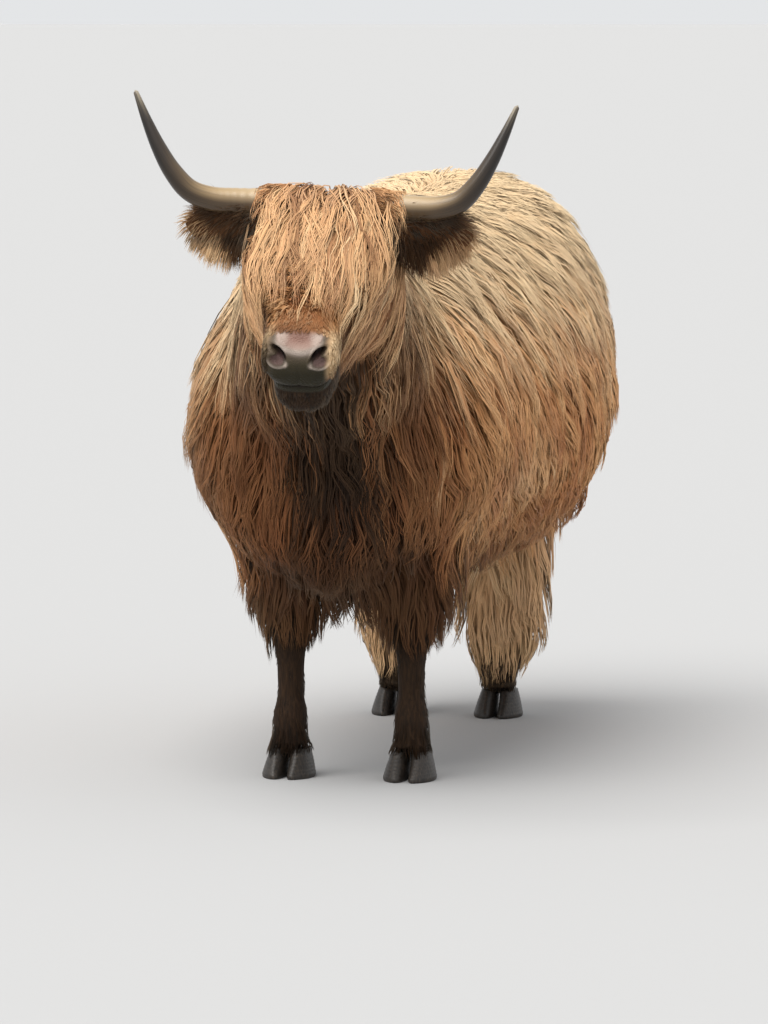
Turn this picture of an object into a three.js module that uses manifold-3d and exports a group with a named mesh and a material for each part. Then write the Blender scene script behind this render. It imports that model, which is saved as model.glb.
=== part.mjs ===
// A standing highland cow, life size, in millimetres: +Z up, the face towards -Y, its left side on +X.
// The solids reach out to the tips of the coat. Each loft is a row of rounded sections joined by bands.
import * as THREE from 'three';
import { mergeVertices } from 'three/addons/utils/BufferGeometryUtils.js';
import Module from 'manifold-3d';

const wasm = await Module();
wasm.setup();

// Driving dimensions.
const gap = 0.3; // clearance between neighbours
const backHeight = 1200; // withers, over the coat
const hipHeight = 1213;
const bellyHeight = 400; // lowest hair under the body
const shoulderHalfWidth = 334;
const barrelHalfWidth = 387;
const hipHalfWidth = 338;
const foreFootY = -420;
const hindFootY = 660;
const foreFootX = 126; // each side of the middle
const hindFootX = 116;
const hindStanceShift = -24; // the hind feet stand a little to the right
const kneeHeight = 335;
const hockHeight = 450;
const hoofHeight = 58;
const hoofLength = 112;
const clawWidth = 50;
const clawSplay = 28; // centre of a claw from the middle of its foot
const pollPoint = new THREE.Vector3(58, -880, 1202); // crown of the head, under the forelock
const facePitch = THREE.MathUtils.degToRad(34.5); // face line below the horizontal
const headYaw = THREE.MathUtils.degToRad(6.2); // turned to its left
const headRoll = THREE.MathUtils.degToRad(2.2); // its left side lower
const headHalfWidth = 132;
const muzzleHalfWidth = 77;
const muzzleCut = 342; // along the face line from the poll
const hornBaseRadius = 28;
const hornTipRadius = 5;
const eyeRadius = 20;
const tailLength = 900;

// Colours, with roughness, of the plain solids.
const finishes = {
  coat: ['#b9814e', 0.9],
  coatPale: ['#cfa274', 0.9],
  coatDark: ['#8a5a36', 0.9],
  legDark: ['#241b17', 0.85],
  nose: ['#94807b', 0.55],
  horn: ['#b9a88c', 0.4],
  eye: ['#1d120c', 0.15],
  hoof: ['#2c2622', 0.6],
  udder: ['#c39a86', 0.7],
};

function material(name) {
  const [color, roughness] = finishes[name];
  return new THREE.MeshStandardMaterial({ color, roughness, metalness: 0 });
}

// Booleans.
function toSolid(geometry) {
  const bare = geometry.clone();
  bare.deleteAttribute('normal');
  bare.deleteAttribute('uv');
  const merged = mergeVertices(bare, 1e-4);
  const vertProperties = new Float32Array(merged.attributes.position.array);
  const triVerts = new Uint32Array(merged.index.array);
  return new wasm.Manifold(new wasm.Mesh({ numProp: 3, vertProperties, triVerts }));
}

function toGeometry(solid) {
  const mesh = solid.getMesh();
  const geometry = new THREE.BufferGeometry();
  geometry.setAttribute('position', new THREE.BufferAttribute(mesh.vertProperties, 3));
  geometry.setIndex(new THREE.BufferAttribute(mesh.triVerts, 1));
  geometry.computeVertexNormals();
  return geometry;
}

function joinAll(solids) {
  return solids.reduce((whole, solid) => whole.add(solid));
}

function cutAll(solid, cutters) {
  return cutters.reduce((left, cutter) => left.subtract(cutter), solid);
}

// A signed power keeps the sign, so a section can be squarer or sharper than an ellipse.
function signedPower(value, power) {
  return Math.sign(value) * Math.abs(value) ** power;
}

// A loft joins sections. Each has a centre, two unit directions, a half width, a reach up and down,
// a power that rounds its upper and lower half, and a cup that bends the section like a leaf.
function sectionPoint(section, angle, grow) {
  const { centre, across, upward, width, top, bottom } = section;
  const { topPower = 2, bottomPower = 2, cup = 0 } = section;
  const power = Math.sin(angle) >= 0 ? topPower : bottomPower;
  const reach = Math.sin(angle) >= 0 ? top : bottom;
  const bend = cup * (1 - Math.cos(angle) ** 2);
  const point = centre.clone();
  point.addScaledVector(across, (width + grow) * signedPower(Math.cos(angle), 2 / power));
  point.addScaledVector(upward, (reach + grow) * signedPower(Math.sin(angle), 2 / power) - bend);
  return point;
}

// The closing point of an end: the tip that a section may carry, or else its middle.
function endPoint(section) {
  if (section.tip) {
    return section.tip.clone();
  }
  const { centre, upward, top, bottom, cup = 0 } = section;
  return centre.clone().addScaledVector(upward, (top - bottom) / 2 - cup / 2);
}

// A loft may be grown on every side, its two ends too, to make room for its neighbour.
function loft(sections, sides, grow = 0) {
  const points = [];
  const indices = [];
  const last = sections.length - 1;
  const startPush = sections[0].centre.clone().sub(sections[1].centre).setLength(grow);
  const endPush = sections[last].centre.clone().sub(sections[last - 1].centre).setLength(grow);
  sections.forEach((section, ring) => {
    for (let step = 0; step < sides; step += 1) {
      const point = sectionPoint(section, (step / sides) * 2 * Math.PI, grow);
      points.push(ring === 0 ? point.add(startPush) : point);
      if (ring === last) {
        point.add(endPush);
      }
    }
  });
  points.push(endPoint(sections[0]).add(startPush));
  points.push(endPoint(sections[last]).add(endPush));
  for (let step = 0; step < sides; step += 1) {
    const next = (step + 1) % sides;
    for (let ring = 0; ring < last; ring += 1) {
      const low = ring * sides;
      const high = low + sides;
      indices.push(low + step, low + next, high + next);
      indices.push(low + step, high + next, high + step);
    }
    indices.push(points.length - 2, next, step);
    indices.push(points.length - 1, last * sides + step, last * sides + next);
  }
  const geometry = new THREE.BufferGeometry().setFromPoints(points);
  geometry.setIndex(indices);
  return toSolid(outward(geometry));
}

// Turns every triangle round when the closed surface encloses a negative volume.
function outward(geometry) {
  const position = geometry.attributes.position;
  const index = Array.from(geometry.index.array);
  const [a, b, c] = [new THREE.Vector3(), new THREE.Vector3(), new THREE.Vector3()];
  let volume = 0;
  for (let face = 0; face < index.length; face += 3) {
    a.fromBufferAttribute(position, index[face]);
    b.fromBufferAttribute(position, index[face + 1]);
    c.fromBufferAttribute(position, index[face + 2]);
    volume += a.dot(b.cross(c)) / 6;
  }
  if (volume < 0) {
    index.reverse();
  }
  geometry.setIndex(index);
  return geometry;
}

const xAxis = new THREE.Vector3(1, 0, 0);
const yAxis = new THREE.Vector3(0, 1, 0);
const zAxis = new THREE.Vector3(0, 0, 1);

// An upright section across the body at y, from a lowest to a highest point.
function bodySection([x, y, highest, lowest, width, topPower, bottomPower]) {
  const middle = lowest + (highest - lowest) * 0.46;
  return {
    centre: new THREE.Vector3(x, y, middle),
    across: xAxis,
    upward: zAxis,
    width,
    top: highest - middle,
    bottom: middle - lowest,
    topPower,
    bottomPower,
  };
}

// A level section of a leg at z: its centre, half width across and its reach to the front and the back.
function legSection([x, y, z, width, front, back, power = 2.2]) {
  return {
    centre: new THREE.Vector3(x, y, z),
    across: xAxis,
    upward: yAxis,
    width,
    top: back,
    bottom: front,
    topPower: power,
    bottomPower: power,
  };
}

// Head frame: s runs down the face line from the poll, n stands off it and x is to its left.
const headTurn = new THREE.Matrix4();
headTurn.makeRotationZ(headYaw);
headTurn.multiply(new THREE.Matrix4().makeRotationY(headRoll));
headTurn.multiply(new THREE.Matrix4().makeRotationX(facePitch));
const headAcross = new THREE.Vector3(1, 0, 0).transformDirection(headTurn);
const headAlong = new THREE.Vector3(0, -1, 0).transformDirection(headTurn);
const headOff = new THREE.Vector3(0, 0, 1).transformDirection(headTurn);

function headPoint(x, s, n) {
  const point = pollPoint.clone();
  point.addScaledVector(headAcross, x);
  point.addScaledVector(headAlong, s);
  point.addScaledVector(headOff, n);
  return point;
}

function headSection([s, highest, lowest, width, topPower = 2.3, bottomPower = 2.3]) {
  const middle = (highest + lowest) / 2;
  return {
    centre: headPoint(0, s, middle),
    across: headAcross,
    upward: headOff,
    width,
    top: highest - middle,
    bottom: middle - lowest,
    topPower,
    bottomPower,
  };
}

// Trunk, neck and head.
function trunk(grow = 0) {
  const rows = [
    [0, -716, 860, 600, 96, 2, 2],
    [0, -696, 940, 520, 186, 2, 2],
    [0, -648, 1030, 444, 262, 1.8, 1.9],
    [0, -570, 1140, bellyHeight + 2, 308, 1.65, 1.85],
    [0, -480, 1188, bellyHeight - 18, 330, 1.65, 1.8],
    [0, -370, backHeight, bellyHeight - 24, shoulderHalfWidth, 1.65, 1.8],
    [0, -240, backHeight - 6, bellyHeight - 12, 346, 1.72, 2],
    [0, -70, backHeight - 20, bellyHeight, 368, 1.9, 2.2],
    [0, 120, backHeight - 24, bellyHeight + 8, barrelHalfWidth - 6, 2, 2.5],
    [0, 300, backHeight - 14, bellyHeight + 16, barrelHalfWidth, 2.05, 2.6],
    [0, 450, hipHeight - 6, bellyHeight + 28, 376, 2.1, 2.6],
    [0, 590, hipHeight, bellyHeight + 46, 359, 2.15, 2.45],
    [0, 710, hipHeight - 4, bellyHeight + 72, hipHalfWidth, 2.15, 2.3],
    [0, 800, hipHeight - 26, bellyHeight + 110, 300, 2.15, 2.2],
    [0, 860, hipHeight - 70, bellyHeight + 160, 246, 2.1, 2.1],
    [0, 896, hipHeight - 140, bellyHeight + 230, 168, 2, 2],
    [0, 910, hipHeight - 230, bellyHeight + 310, 88, 2, 2],
  ];
  return loft(rows.map(bodySection), 24, grow);
}

function neck(grow = 0) {
  const rows = [
    [0, -440, 1184, 660, 190, 1.6, 2],
    [0, -540, 1192, 630, 232, 1.6, 2],
    [6, -630, 1190, 620, 222, 1.65, 2],
    [16, -710, 1190, 650, 206, 1.7, 2],
    [28, -790, 1192, 712, 187, 1.8, 2],
    [42, -860, 1194, 782, 165, 1.9, 2],
    [52, -920, 1172, 850, 134, 2, 2],
    [56, -956, 1130, 890, 98, 2, 2],
  ];
  return loft(rows.map(bodySection), 20, grow);
}

// Tuft of hair that hangs from the breastbone between the forelegs.
function brisket() {
  const rows = [
    [-12, -704, 600, 500, 36, 2, 2],
    [-12, -686, 660, 446, 74, 2, 2],
    [-12, -640, 690, 414, 96, 2, 2],
    [-12, -580, 690, 396, 104, 2, 2],
    [-12, -500, 640, 400, 90, 2, 2],
  ];
  return loft(rows.map(bodySection), 12);
}

function upperHead(grow = 0) {
  const rows = [
    [-52, -45, -140, 78],
    [-20, -6, -185, 112],
    [30, 4, -212, 128],
    [95, 6, -225, headHalfWidth],
    [155, 4, -215, 128],
    [215, 0, -190, 115],
    [272, -2, -160, 97],
    [325, -4, -132, 82],
    [372, -4, -115, 74],
    [414, -4, -109, 74],
    [443, -10, -107, muzzleHalfWidth],
    [466, -28, -105, 72],
    [480, -52, -100, 57],
  ];
  const sections = rows.map(headSection);
  sections.at(-1).tip = headPoint(0, 485, -78);
  return loft(sections, 18, grow);
}

function jaw() {
  const rows = [
    [95, -120, -225, 80],
    [150, -100, -252, 104],
    [215, -90, -246, 98],
    [275, -80, -226, 84],
    [332, -80, -212, 69],
    [386, -84, -204, 61],
    [430, -88, -196, 57],
    [457, -92, -174, 47],
  ];
  const sections = rows.map(headSection);
  sections.at(-1).tip = headPoint(0, 464, -128);
  return loft(sections, 12);
}

// A nostril hollow, deeper towards the back and the side of the nose pad.
function nostril(side) {
  const hollow = new THREE.SphereGeometry(1, 8, 6);
  hollow.scale(11, 17, 15);
  hollow.applyMatrix4(headTurn);
  const centre = headPoint(side * 37, 474, -42);
  hollow.translate(centre.x, centre.y, centre.z);
  return toSolid(hollow);
}

// Hair mass that falls from the crown over the forehead and the eyes.
function forelock() {
  const rows = [
    [-62, -26, -80, 96, 2.4, 2],
    [-36, 2, -90, 126, 2.6, 2],
    [10, 30, -100, 146, 2.6, 2],
    [75, 42, -112, 158, 2.4, 2],
    [145, 44, -118, 156, 2.2, 2],
    [212, 38, -114, 140, 2, 2],
    [290, 28, -92, 112, 2, 2],
    [360, 14, -44, 76, 2, 2],
  ];
  const sections = rows.map(headSection);
  sections.at(-1).tip = headPoint(0, 382, -8);
  return loft(sections, 16);
}

// Horns: out from the sides of the poll, then curving up to slender tips.
function horn(side, grow = 0) {
  const route = [
    [84, -6, 16],
    [130, 0, 11],
    [176, 8, 11],
    [221, 17, 14],
    [263, 24, 29],
    [296, 26, 64],
    [324, 22, 110],
    [349, 14, 162],
    [371, 4, 214],
  ];
  const level = new THREE.Vector3(0, -1, 0).applyAxisAngle(zAxis, headYaw);
  const centre = headPoint(0, 26, -24);
  const points = route.map(([out, ahead, rise]) => {
    const point = centre.clone();
    point.addScaledVector(headAcross, side * out);
    point.addScaledVector(level, ahead);
    point.addScaledVector(zAxis, rise);
    return point;
  });
  const curve = new THREE.CatmullRomCurve3(points, false, 'centripetal');
  const count = 14;
  const sections = [];
  for (let step = 0; step < count; step += 1) {
    const part = step / (count - 1);
    const centreHere = curve.getPointAt(part);
    const tangent = curve.getTangentAt(part);
    const across = new THREE.Vector3().crossVectors(tangent, level).normalize();
    const upward = new THREE.Vector3().crossVectors(across, tangent).normalize();
    const taper = hornBaseRadius - (hornBaseRadius - hornTipRadius) * part ** 1.6;
    const section = { centre: centreHere, across, upward, width: taper, top: taper, bottom: taper };
    sections.push(section);
  }
  const end = curve.getPointAt(1);
  sections.at(-1).tip = end.clone().addScaledVector(curve.getTangentAt(1), hornTipRadius);
  return loft(sections, 10, grow);
}

// Ears: cupped leaves below the horns, with the fringe of their lower edge.
function ear(side, grow = 0) {
  const root = headPoint(side * 112, 60, -52);
  const direction = headAcross.clone().multiplyScalar(side);
  direction.addScaledVector(zAxis, -0.08).addScaledVector(yAxis, 0.1).normalize();
  root.addScaledVector(zAxis, 19).addScaledVector(direction, side > 0 ? 16 : 0);
  const facing = new THREE.Vector3(side * 0.1, -1, -0.1).normalize();
  const across = new THREE.Vector3().crossVectors(direction, facing).normalize();
  const front = new THREE.Vector3().crossVectors(across, direction).normalize();
  const rows = [
    [-14, 28, 20, 0, 0],
    [20, 38, 22, 4, 6],
    [62, 54, 21, 12, 12],
    [106, 64, 19, 16, 16],
    [142, 60, 17, 14, 16],
    [170, 44, 14, 8, 10],
    [190, 20, 9, 2, 4],
  ];
  const lean = Math.sign(across.z);
  const sections = rows.map(([along, width, thickness, cup, drop]) => {
    const centre = root.clone();
    centre.addScaledVector(direction, along);
    centre.addScaledVector(across, -lean * drop);
    return { centre, across, upward: front, width, top: thickness, bottom: thickness, cup };
  });
  return loft(sections, 12, grow);
}

function eye(side, grow = 0) {
  const ball = new THREE.SphereGeometry(eyeRadius + grow, 10, 8);
  const centre = headPoint(side * 90, 168, -62);
  ball.translate(centre.x, centre.y, centre.z);
  return toSolid(ball);
}

// The opening between the lids, which leads out through the hair of the brow.
function orbit(side) {
  const hollow = new THREE.SphereGeometry(1, 10, 6);
  hollow.scale(30, 25, 17);
  hollow.applyMatrix4(headTurn);
  const centre = headPoint(side * 122, 168, -62);
  hollow.translate(centre.x, centre.y, centre.z);
  return toSolid(hollow);
}

// Legs, each down to the top of its hoof.
function foreLeg(side, grow = 0) {
  const x = side * foreFootX;
  const y = foreFootY;
  const rows = [
    [x + side * 6, y - 10, 590, 92, 110, 110],
    [x + side * 6, y - 10, 500, 98, 118, 118],
    [x + side * 4, y - 6, 430, 97, 108, 110],
    [x + side * 2, y - 4, 380, 92, 98, 102],
    [x, y - 4, 346, 73, 76, 82],
    [x, y - 4, 318, 53, 55, 58],
    [x, y, 280, 42, 44, 44],
    [x, y + 2, 230, 34, 34, 38],
    [x, y + 2, 170, 33, 33, 38],
    [x, y, 125, 40, 41, 47],
    [x, y - 4, 92, 39, 40, 43],
    [x, y - 5, hoofHeight + gap, 46, 42, 42],
  ];
  return loft(rows.map(legSection), 12, grow);
}

function hindLeg(side, grow = 0) {
  const x = side * hindFootX + hindStanceShift;
  const y = hindFootY;
  const rows = [
    [x + side * 14, y - 40, 700, 122, 160, 190],
    [x + side * 14, y - 26, 610, 122, 150, 184],
    [x + side * 13, y - 2, 530, 118, 122, 166],
    [x + side * 12, y + 28, hockHeight, 116, 94, 136],
    [x + side * 10, y + 32, 380, 119, 88, 126],
    [x + side * 9, y + 28, 300, 119, 84, 118],
    [x + side * 7, y + 22, 220, 113, 78, 110],
    [x + side * 2, y + 14, 160, 92, 66, 92],
    [x, y + 4, 125, 58, 50, 64],
    [x, y - 4, 96, 40, 41, 44],
    [x, y - 5, hoofHeight + gap, 46, 42, 42],
  ];
  return loft(rows.map(legSection), 12, grow);
}

// One claw of a cloven hoof: flat sole on the floor, front wall sloping back to the coronet.
function claw(footX, footY, side) {
  const x = footX + side * clawSplay;
  const half = clawWidth / 2;
  const rows = [
    [x, footY - 20, 0, half, hoofLength * 0.54, hoofLength * 0.46, 2.3],
    [x, footY - 20, 8, half + 0.5, hoofLength * 0.54, hoofLength * 0.46, 2.3],
    [x, footY - 12, 34, half - 1, hoofLength * 0.45, hoofLength * 0.43, 2.2],
    [x - side * 1.5, footY - 5, hoofHeight, half - 3.5, hoofLength * 0.36, hoofLength * 0.38, 2.2],
  ];
  return loft(rows.map(legSection), 10);
}

// Tail: a haired dock and a long switch that hang behind the thighs.
function tail(grow = 0) {
  const rootHeight = hipHeight - 62;
  const points = [
    [0, 820, rootHeight],
    [0, 880, rootHeight - 10],
    [0, 924, rootHeight - 62],
    [0, 938, rootHeight - 150],
    [0, 934, rootHeight - 330],
    [0, 918, rootHeight - 500],
    [0, 906, rootHeight - 650],
    [0, 898, rootHeight - 790],
    [0, 894, rootHeight - tailLength],
  ];
  const curve = new THREE.CatmullRomCurve3(points.map((point) => new THREE.Vector3(...point)));
  const radii = [40, 42, 40, 37, 34, 33, 33, 38, 50, 60, 64, 60, 48, 26];
  const sections = radii.map((radius, step) => {
    const part = step / (radii.length - 1);
    const tangent = curve.getTangentAt(part);
    const upward = new THREE.Vector3().crossVectors(tangent, xAxis).normalize();
    const centre = curve.getPointAt(part);
    return { centre, across: xAxis, upward, width: radius, top: radius * 0.9, bottom: radius * 0.9 };
  });
  return loft(sections, 10, grow);
}

// Small udder in front of the thighs, with four teats.
function udder(grow = 0) {
  const x = hindStanceShift / 2;
  const y = hindFootY - 250;
  const rows = [
    [x, y, 540, 66, 64, 64],
    [x, y, 440, 78, 76, 76],
    [x, y, 396, 60, 58, 58],
    [x, y, 380, 32, 30, 30],
  ];
  const bag = loft(rows.map(legSection), 12, grow);
  const teats = [-1, 1].flatMap((side) => [-1, 1].map((end) => teat(x + side * 34, y + end * 32)));
  return joinAll([bag, ...teats]);
}

function teat(x, y) {
  const rows = [
    [x, y, 410, 13, 13, 13, 2],
    [x, y, 352, 10, 10, 10, 2],
    [x, y, 345, 6, 6, 6, 2],
  ];
  return loft(rows.map(legSection), 6);
}

// A large block with one face through a point, square to a direction; it lies on the far side.
function blockBeyond(point, direction, shift = 0) {
  const size = 3000;
  const box = new THREE.BoxGeometry(size, size, size);
  const turn = new THREE.Quaternion().setFromUnitVectors(zAxis, direction.clone().normalize());
  box.translate(0, 0, size / 2 + shift);
  box.applyQuaternion(turn);
  box.translate(point.x, point.y, point.z);
  return toSolid(box);
}

// Parts a solid in two at a plane, with the clearance between the halves.
function partAt(solid, point, direction) {
  const far = solid.intersect(blockBeyond(point, direction, gap));
  const near = solid.subtract(blockBeyond(point, direction));
  return [near, far];
}

const group = new THREE.Group();

function place(name, solid, finish) {
  const mesh = new THREE.Mesh(toGeometry(solid), material(finish));
  mesh.name = name;
  group.add(mesh);
}

const sides = [['left', 1], ['right', -1]];
const legEnds = [['fore', foreLeg, foreFootX, 0, foreFootY, kneeHeight]];
legEnds.push(['hind', hindLeg, hindFootX, hindStanceShift, hindFootY, hockHeight - 30]);

// What stands in the flesh leaves a socket in it, wider by the clearance.
const sockets = [tail(gap), udder(gap)];
for (const [, side] of sides) {
  sockets.push(foreLeg(side, gap), hindLeg(side, gap));
  sockets.push(horn(side, gap), ear(side, gap), eye(side, gap), orbit(side), nostril(side));
}
const flesh = cutAll(joinAll([trunk(), neck(), brisket(), upperHead(), jaw()]), sockets);

// Planes across the flesh, from the rump to the muzzle.
const forwards = new THREE.Vector3(0, -1, 0);
const [behindHead, wholeHead] = partAt(flesh, new THREE.Vector3(50, -884, 1000), forwards);
const neckTilt = new THREE.Vector3(0, -1, 0.32);
const [body, neckSolid] = partAt(behindHead, new THREE.Vector3(0, -640, 900), neckTilt);
const [rear, forequarters] = partAt(body, new THREE.Vector3(0, -190, 800), forwards);
const [hindquarters, barrel] = partAt(rear, new THREE.Vector3(0, 430, 800), forwards);
const [head, muzzle] = partAt(wholeHead, headPoint(0, muzzleCut, -80), headAlong);

place('hindquarters', hindquarters, 'coat');
place('barrel', barrel, 'coat');
place('forequarters', forequarters, 'coat');
place('neck', neckSolid, 'coat');
place('head', head, 'coat');
place('muzzle', muzzle, 'nose');

const underLock = [upperHead(gap), neck(gap)];
for (const [, side] of sides) {
  underLock.push(horn(side, gap), ear(side, gap));
}
place('forelock', cutAll(forelock(), underLock), 'coatPale');

for (const [word, side] of sides) {
  place(`ear_${word}`, cutAll(ear(side), [horn(side, gap)]), 'coatDark');
  place(`horn_${word}`, horn(side), 'horn');
  place(`eye_${word}`, eye(side), 'eye');
}

for (const [end, leg, footX, shift, footY, cutHeight] of legEnds) {
  for (const [word, side] of sides) {
    const cut = new THREE.Vector3(0, 0, cutHeight);
    const [lower, upper] = partAt(leg(side), cut, zAxis);
    place(`leg_${end}_${word}_upper`, upper, 'coat');
    place(`leg_${end}_${word}_lower`, lower, end === 'fore' ? 'legDark' : 'coat');
    for (const [clawWord, clawSide] of sides) {
      const clawSolid = claw(side * footX + shift, footY, clawSide);
      place(`claw_${end}_${word}_${clawWord}`, clawSolid, 'hoof');
    }
  }
}

const [switchSolid, dock] = partAt(tail(), new THREE.Vector3(0, 0, 600), zAxis);
place('tail_dock', dock, 'coatPale');
place('tail_switch', switchSolid, 'coatPale');
place('udder', udder(), 'udder');

// The origin is the middle of the underside.
const box = new THREE.Box3().setFromObject(group);
const middle = box.getCenter(new THREE.Vector3());
group.position.set(-middle.x, -middle.y, -box.min.z);

export default group;
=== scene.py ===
import math
import time

import bmesh
import bpy
import numpy as np
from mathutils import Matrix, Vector
from mathutils.bvhtree import BVHTree
from mathutils.kdtree import KDTree


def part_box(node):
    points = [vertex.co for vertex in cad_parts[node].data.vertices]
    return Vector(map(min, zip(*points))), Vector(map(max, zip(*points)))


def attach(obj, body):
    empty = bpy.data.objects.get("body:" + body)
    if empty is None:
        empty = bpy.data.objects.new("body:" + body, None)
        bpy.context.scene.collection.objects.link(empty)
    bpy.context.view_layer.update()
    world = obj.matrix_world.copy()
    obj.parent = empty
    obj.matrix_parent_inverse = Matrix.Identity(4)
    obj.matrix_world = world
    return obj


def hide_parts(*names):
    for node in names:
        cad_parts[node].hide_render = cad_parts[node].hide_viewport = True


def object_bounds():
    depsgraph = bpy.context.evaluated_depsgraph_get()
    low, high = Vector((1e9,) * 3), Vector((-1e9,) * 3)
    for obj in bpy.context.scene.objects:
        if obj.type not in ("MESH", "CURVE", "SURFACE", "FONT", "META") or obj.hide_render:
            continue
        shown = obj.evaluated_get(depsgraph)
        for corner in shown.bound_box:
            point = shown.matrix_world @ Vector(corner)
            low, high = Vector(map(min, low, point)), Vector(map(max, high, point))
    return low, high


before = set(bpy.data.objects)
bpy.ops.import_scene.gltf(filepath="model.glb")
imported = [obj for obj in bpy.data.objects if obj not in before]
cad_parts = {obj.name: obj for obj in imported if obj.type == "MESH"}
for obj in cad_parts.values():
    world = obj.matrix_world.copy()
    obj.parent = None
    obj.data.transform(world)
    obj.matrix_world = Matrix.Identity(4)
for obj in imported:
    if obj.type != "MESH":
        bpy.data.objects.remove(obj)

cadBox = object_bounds()
started = time.time()


def report(words):
    print(f"{time.time() - started:6.1f} s  {words}")


# The cow faces -Y. Shapes are laid out in its own measures, with the fore feet at y -0.42,
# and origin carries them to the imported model.
foreClaws = [f"claw_fore_{leg}_{toe}" for leg in ("left", "right") for toe in ("left", "right")]
clawBoxes = [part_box(name) for name in foreClaws]
origin = np.array([
    sum((low.x + high.x) / 2 for low, high in clawBoxes) / 4,
    min(low.y for low, high in clawBoxes) + 0.50048,
    0.0,
])

headSet = {
    "poll": (0.058, -0.880, 1.202),
    "pitch": 34.5,
    "yaw": 6.2,
    "roll": 2.2,
}


def turnMatrix(axis, degrees):
    c, s = math.cos(math.radians(degrees)), math.sin(math.radians(degrees))
    rows = {
        "x": [[1, 0, 0], [0, c, -s], [0, s, c]],
        "y": [[c, 0, s], [0, 1, 0], [-s, 0, c]],
        "z": [[c, -s, 0], [s, c, 0], [0, 0, 1]],
    }
    return np.array(rows[axis])


headTurn = turnMatrix("z", headSet["yaw"]) @ turnMatrix("y", headSet["roll"])
headTurn = headTurn @ turnMatrix("x", headSet["pitch"])
headAcross = headTurn @ np.array([1.0, 0, 0])
headAlong = headTurn @ np.array([0, -1.0, 0])
headOff = headTurn @ np.array([0, 0, 1.0])
headLevel = turnMatrix("z", headSet["yaw"]) @ np.array([0, -1.0, 0])
poll = np.array(headSet["poll"])
down = np.array([0.0, 0.0, -1.0])


def headPoint(across, along, off):
    return poll + across * headAcross + along * headAlong + off * headOff


def headMeasures(points):
    apart = points - poll
    return apart @ headAcross, apart @ headAlong, apart @ headOff


def ramp(start, end, value):
    t = np.clip((np.asarray(value, float) - start) / (end - start), 0, 1)
    return t * t * (3 - 2 * t)


def hump(centre, spread, value):
    return np.exp(-(((value - centre) / spread) ** 2))


def unit(vectors):
    return vectors / np.maximum(np.linalg.norm(vectors, axis=-1, keepdims=True), 1e-9)


def mixed(first, second, share):
    return first + (second - first) * share


def levels(table, value):
    return np.interp(value, [row[0] for row in table], [row[1] for row in table])


# Fades multiplied together, each (measure, start, full) or (near measure, centre, spread).
def shareOf(measures, fades):
    share = 1.0
    for name, first, second in fades:
        if name.startswith("near "):
            share = share * hump(first, second, measures[name[5:]])
        else:
            share = share * ramp(first, second, measures[name])
    return share


def addObject(name, data):
    shape = bpy.data.objects.new(name, data)
    bpy.context.scene.collection.objects.link(shape)
    return shape


def meshObject(name, points, faces):
    mesh = bpy.data.meshes.new(name)
    mesh.from_pydata((np.asarray(points) + origin).tolist(), [], faces)
    return addObject(name, mesh)


weldGap = 0.00005


def weld(shape):
    work = bmesh.new()
    work.from_mesh(shape.data)
    bmesh.ops.remove_doubles(work, verts=work.verts, dist=weldGap)
    bmesh.ops.recalc_face_normals(work, faces=work.faces)
    work.to_mesh(shape.data)
    work.free()
    shape.data.shade_smooth()


def applyModifier(shape, kind, **settings):
    change = shape.modifiers.new(kind.lower(), kind)
    for name, value in settings.items():
        setattr(change, name, value)
    graph = bpy.context.evaluated_depsgraph_get()
    mesh = bpy.data.meshes.new_from_object(shape.evaluated_get(graph))
    old = shape.data
    shape.modifiers.clear()
    shape.data = mesh
    bpy.data.meshes.remove(old)


def readValues(items, name, size, kind=np.float32):
    values = np.empty(len(items) * size, kind)
    items.foreach_get(name, values)
    return values.reshape(-1, size)


def pointsOf(shape):
    return readValues(shape.data.vertices, "co", 3).astype(float) - origin


def normalsOf(shape):
    return readValues(shape.data.vertices, "normal", 3).astype(float)


def trianglesOf(shape):
    shape.data.calc_loop_triangles()
    return readValues(shape.data.loop_triangles, "vertices", 3, np.int32)


def movePoints(shape, points):
    shape.data.vertices.foreach_set("co", (points + origin).astype(np.float32).ravel())
    shape.data.update()


def gathered(shapes, faceLists):
    points, faces, start = [], [], 0
    for shape, corners in zip(shapes, faceLists):
        points.append(pointsOf(shape))
        faces += [[corner + start for corner in face] for face in corners]
        start += len(shape.data.vertices)
    return np.concatenate(points), faces


def dropShape(shape):
    mesh = shape.data
    bpy.data.objects.remove(shape)
    bpy.data.meshes.remove(mesh)


def joined(name, shapes):
    faceLists = [[list(face.vertices) for face in shape.data.polygons] for shape in shapes]
    points, faces = gathered(shapes, faceLists)
    for shape in shapes:
        dropShape(shape)
    return meshObject(name, points, faces)


def powerOf(value, exponent):
    return np.sign(value) * np.abs(value) ** exponent


def loftShape(name, rows, sides, ends):
    angles = np.arange(sides) * 2 * math.pi / sides
    points, faces = [], []
    for row in rows:
        power = np.where(np.sin(angles) >= 0, row.get("topPower", 2), row.get("bottomPower", 2))
        reach = np.where(np.sin(angles) >= 0, row["top"], row["bottom"])
        wide = row["width"] * powerOf(np.cos(angles), 2 / power)
        high = reach * powerOf(np.sin(angles), 2 / power) - row.get("cup", 0) * np.sin(angles) ** 2
        ring = row["centre"] + wide[:, None] * row["across"] + high[:, None] * row["upward"]
        points.append(ring)
    for k in range(len(rows) - 1):
        for j in range(sides):
            a, b = k * sides + j, k * sides + (j + 1) % sides
            faces.append([a, b, b + sides, a + sides])
    total = len(rows) * sides
    for end, first in ((0, 0), (1, total - sides)):
        points.append(np.asarray(ends[end])[None])
        faces += [[first + j, first + (j + 1) % sides, total + end] for j in range(sides)]
    shape = meshObject(name, np.concatenate(points), faces)
    weld(shape)
    return shape


curveSteps = 40


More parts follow.
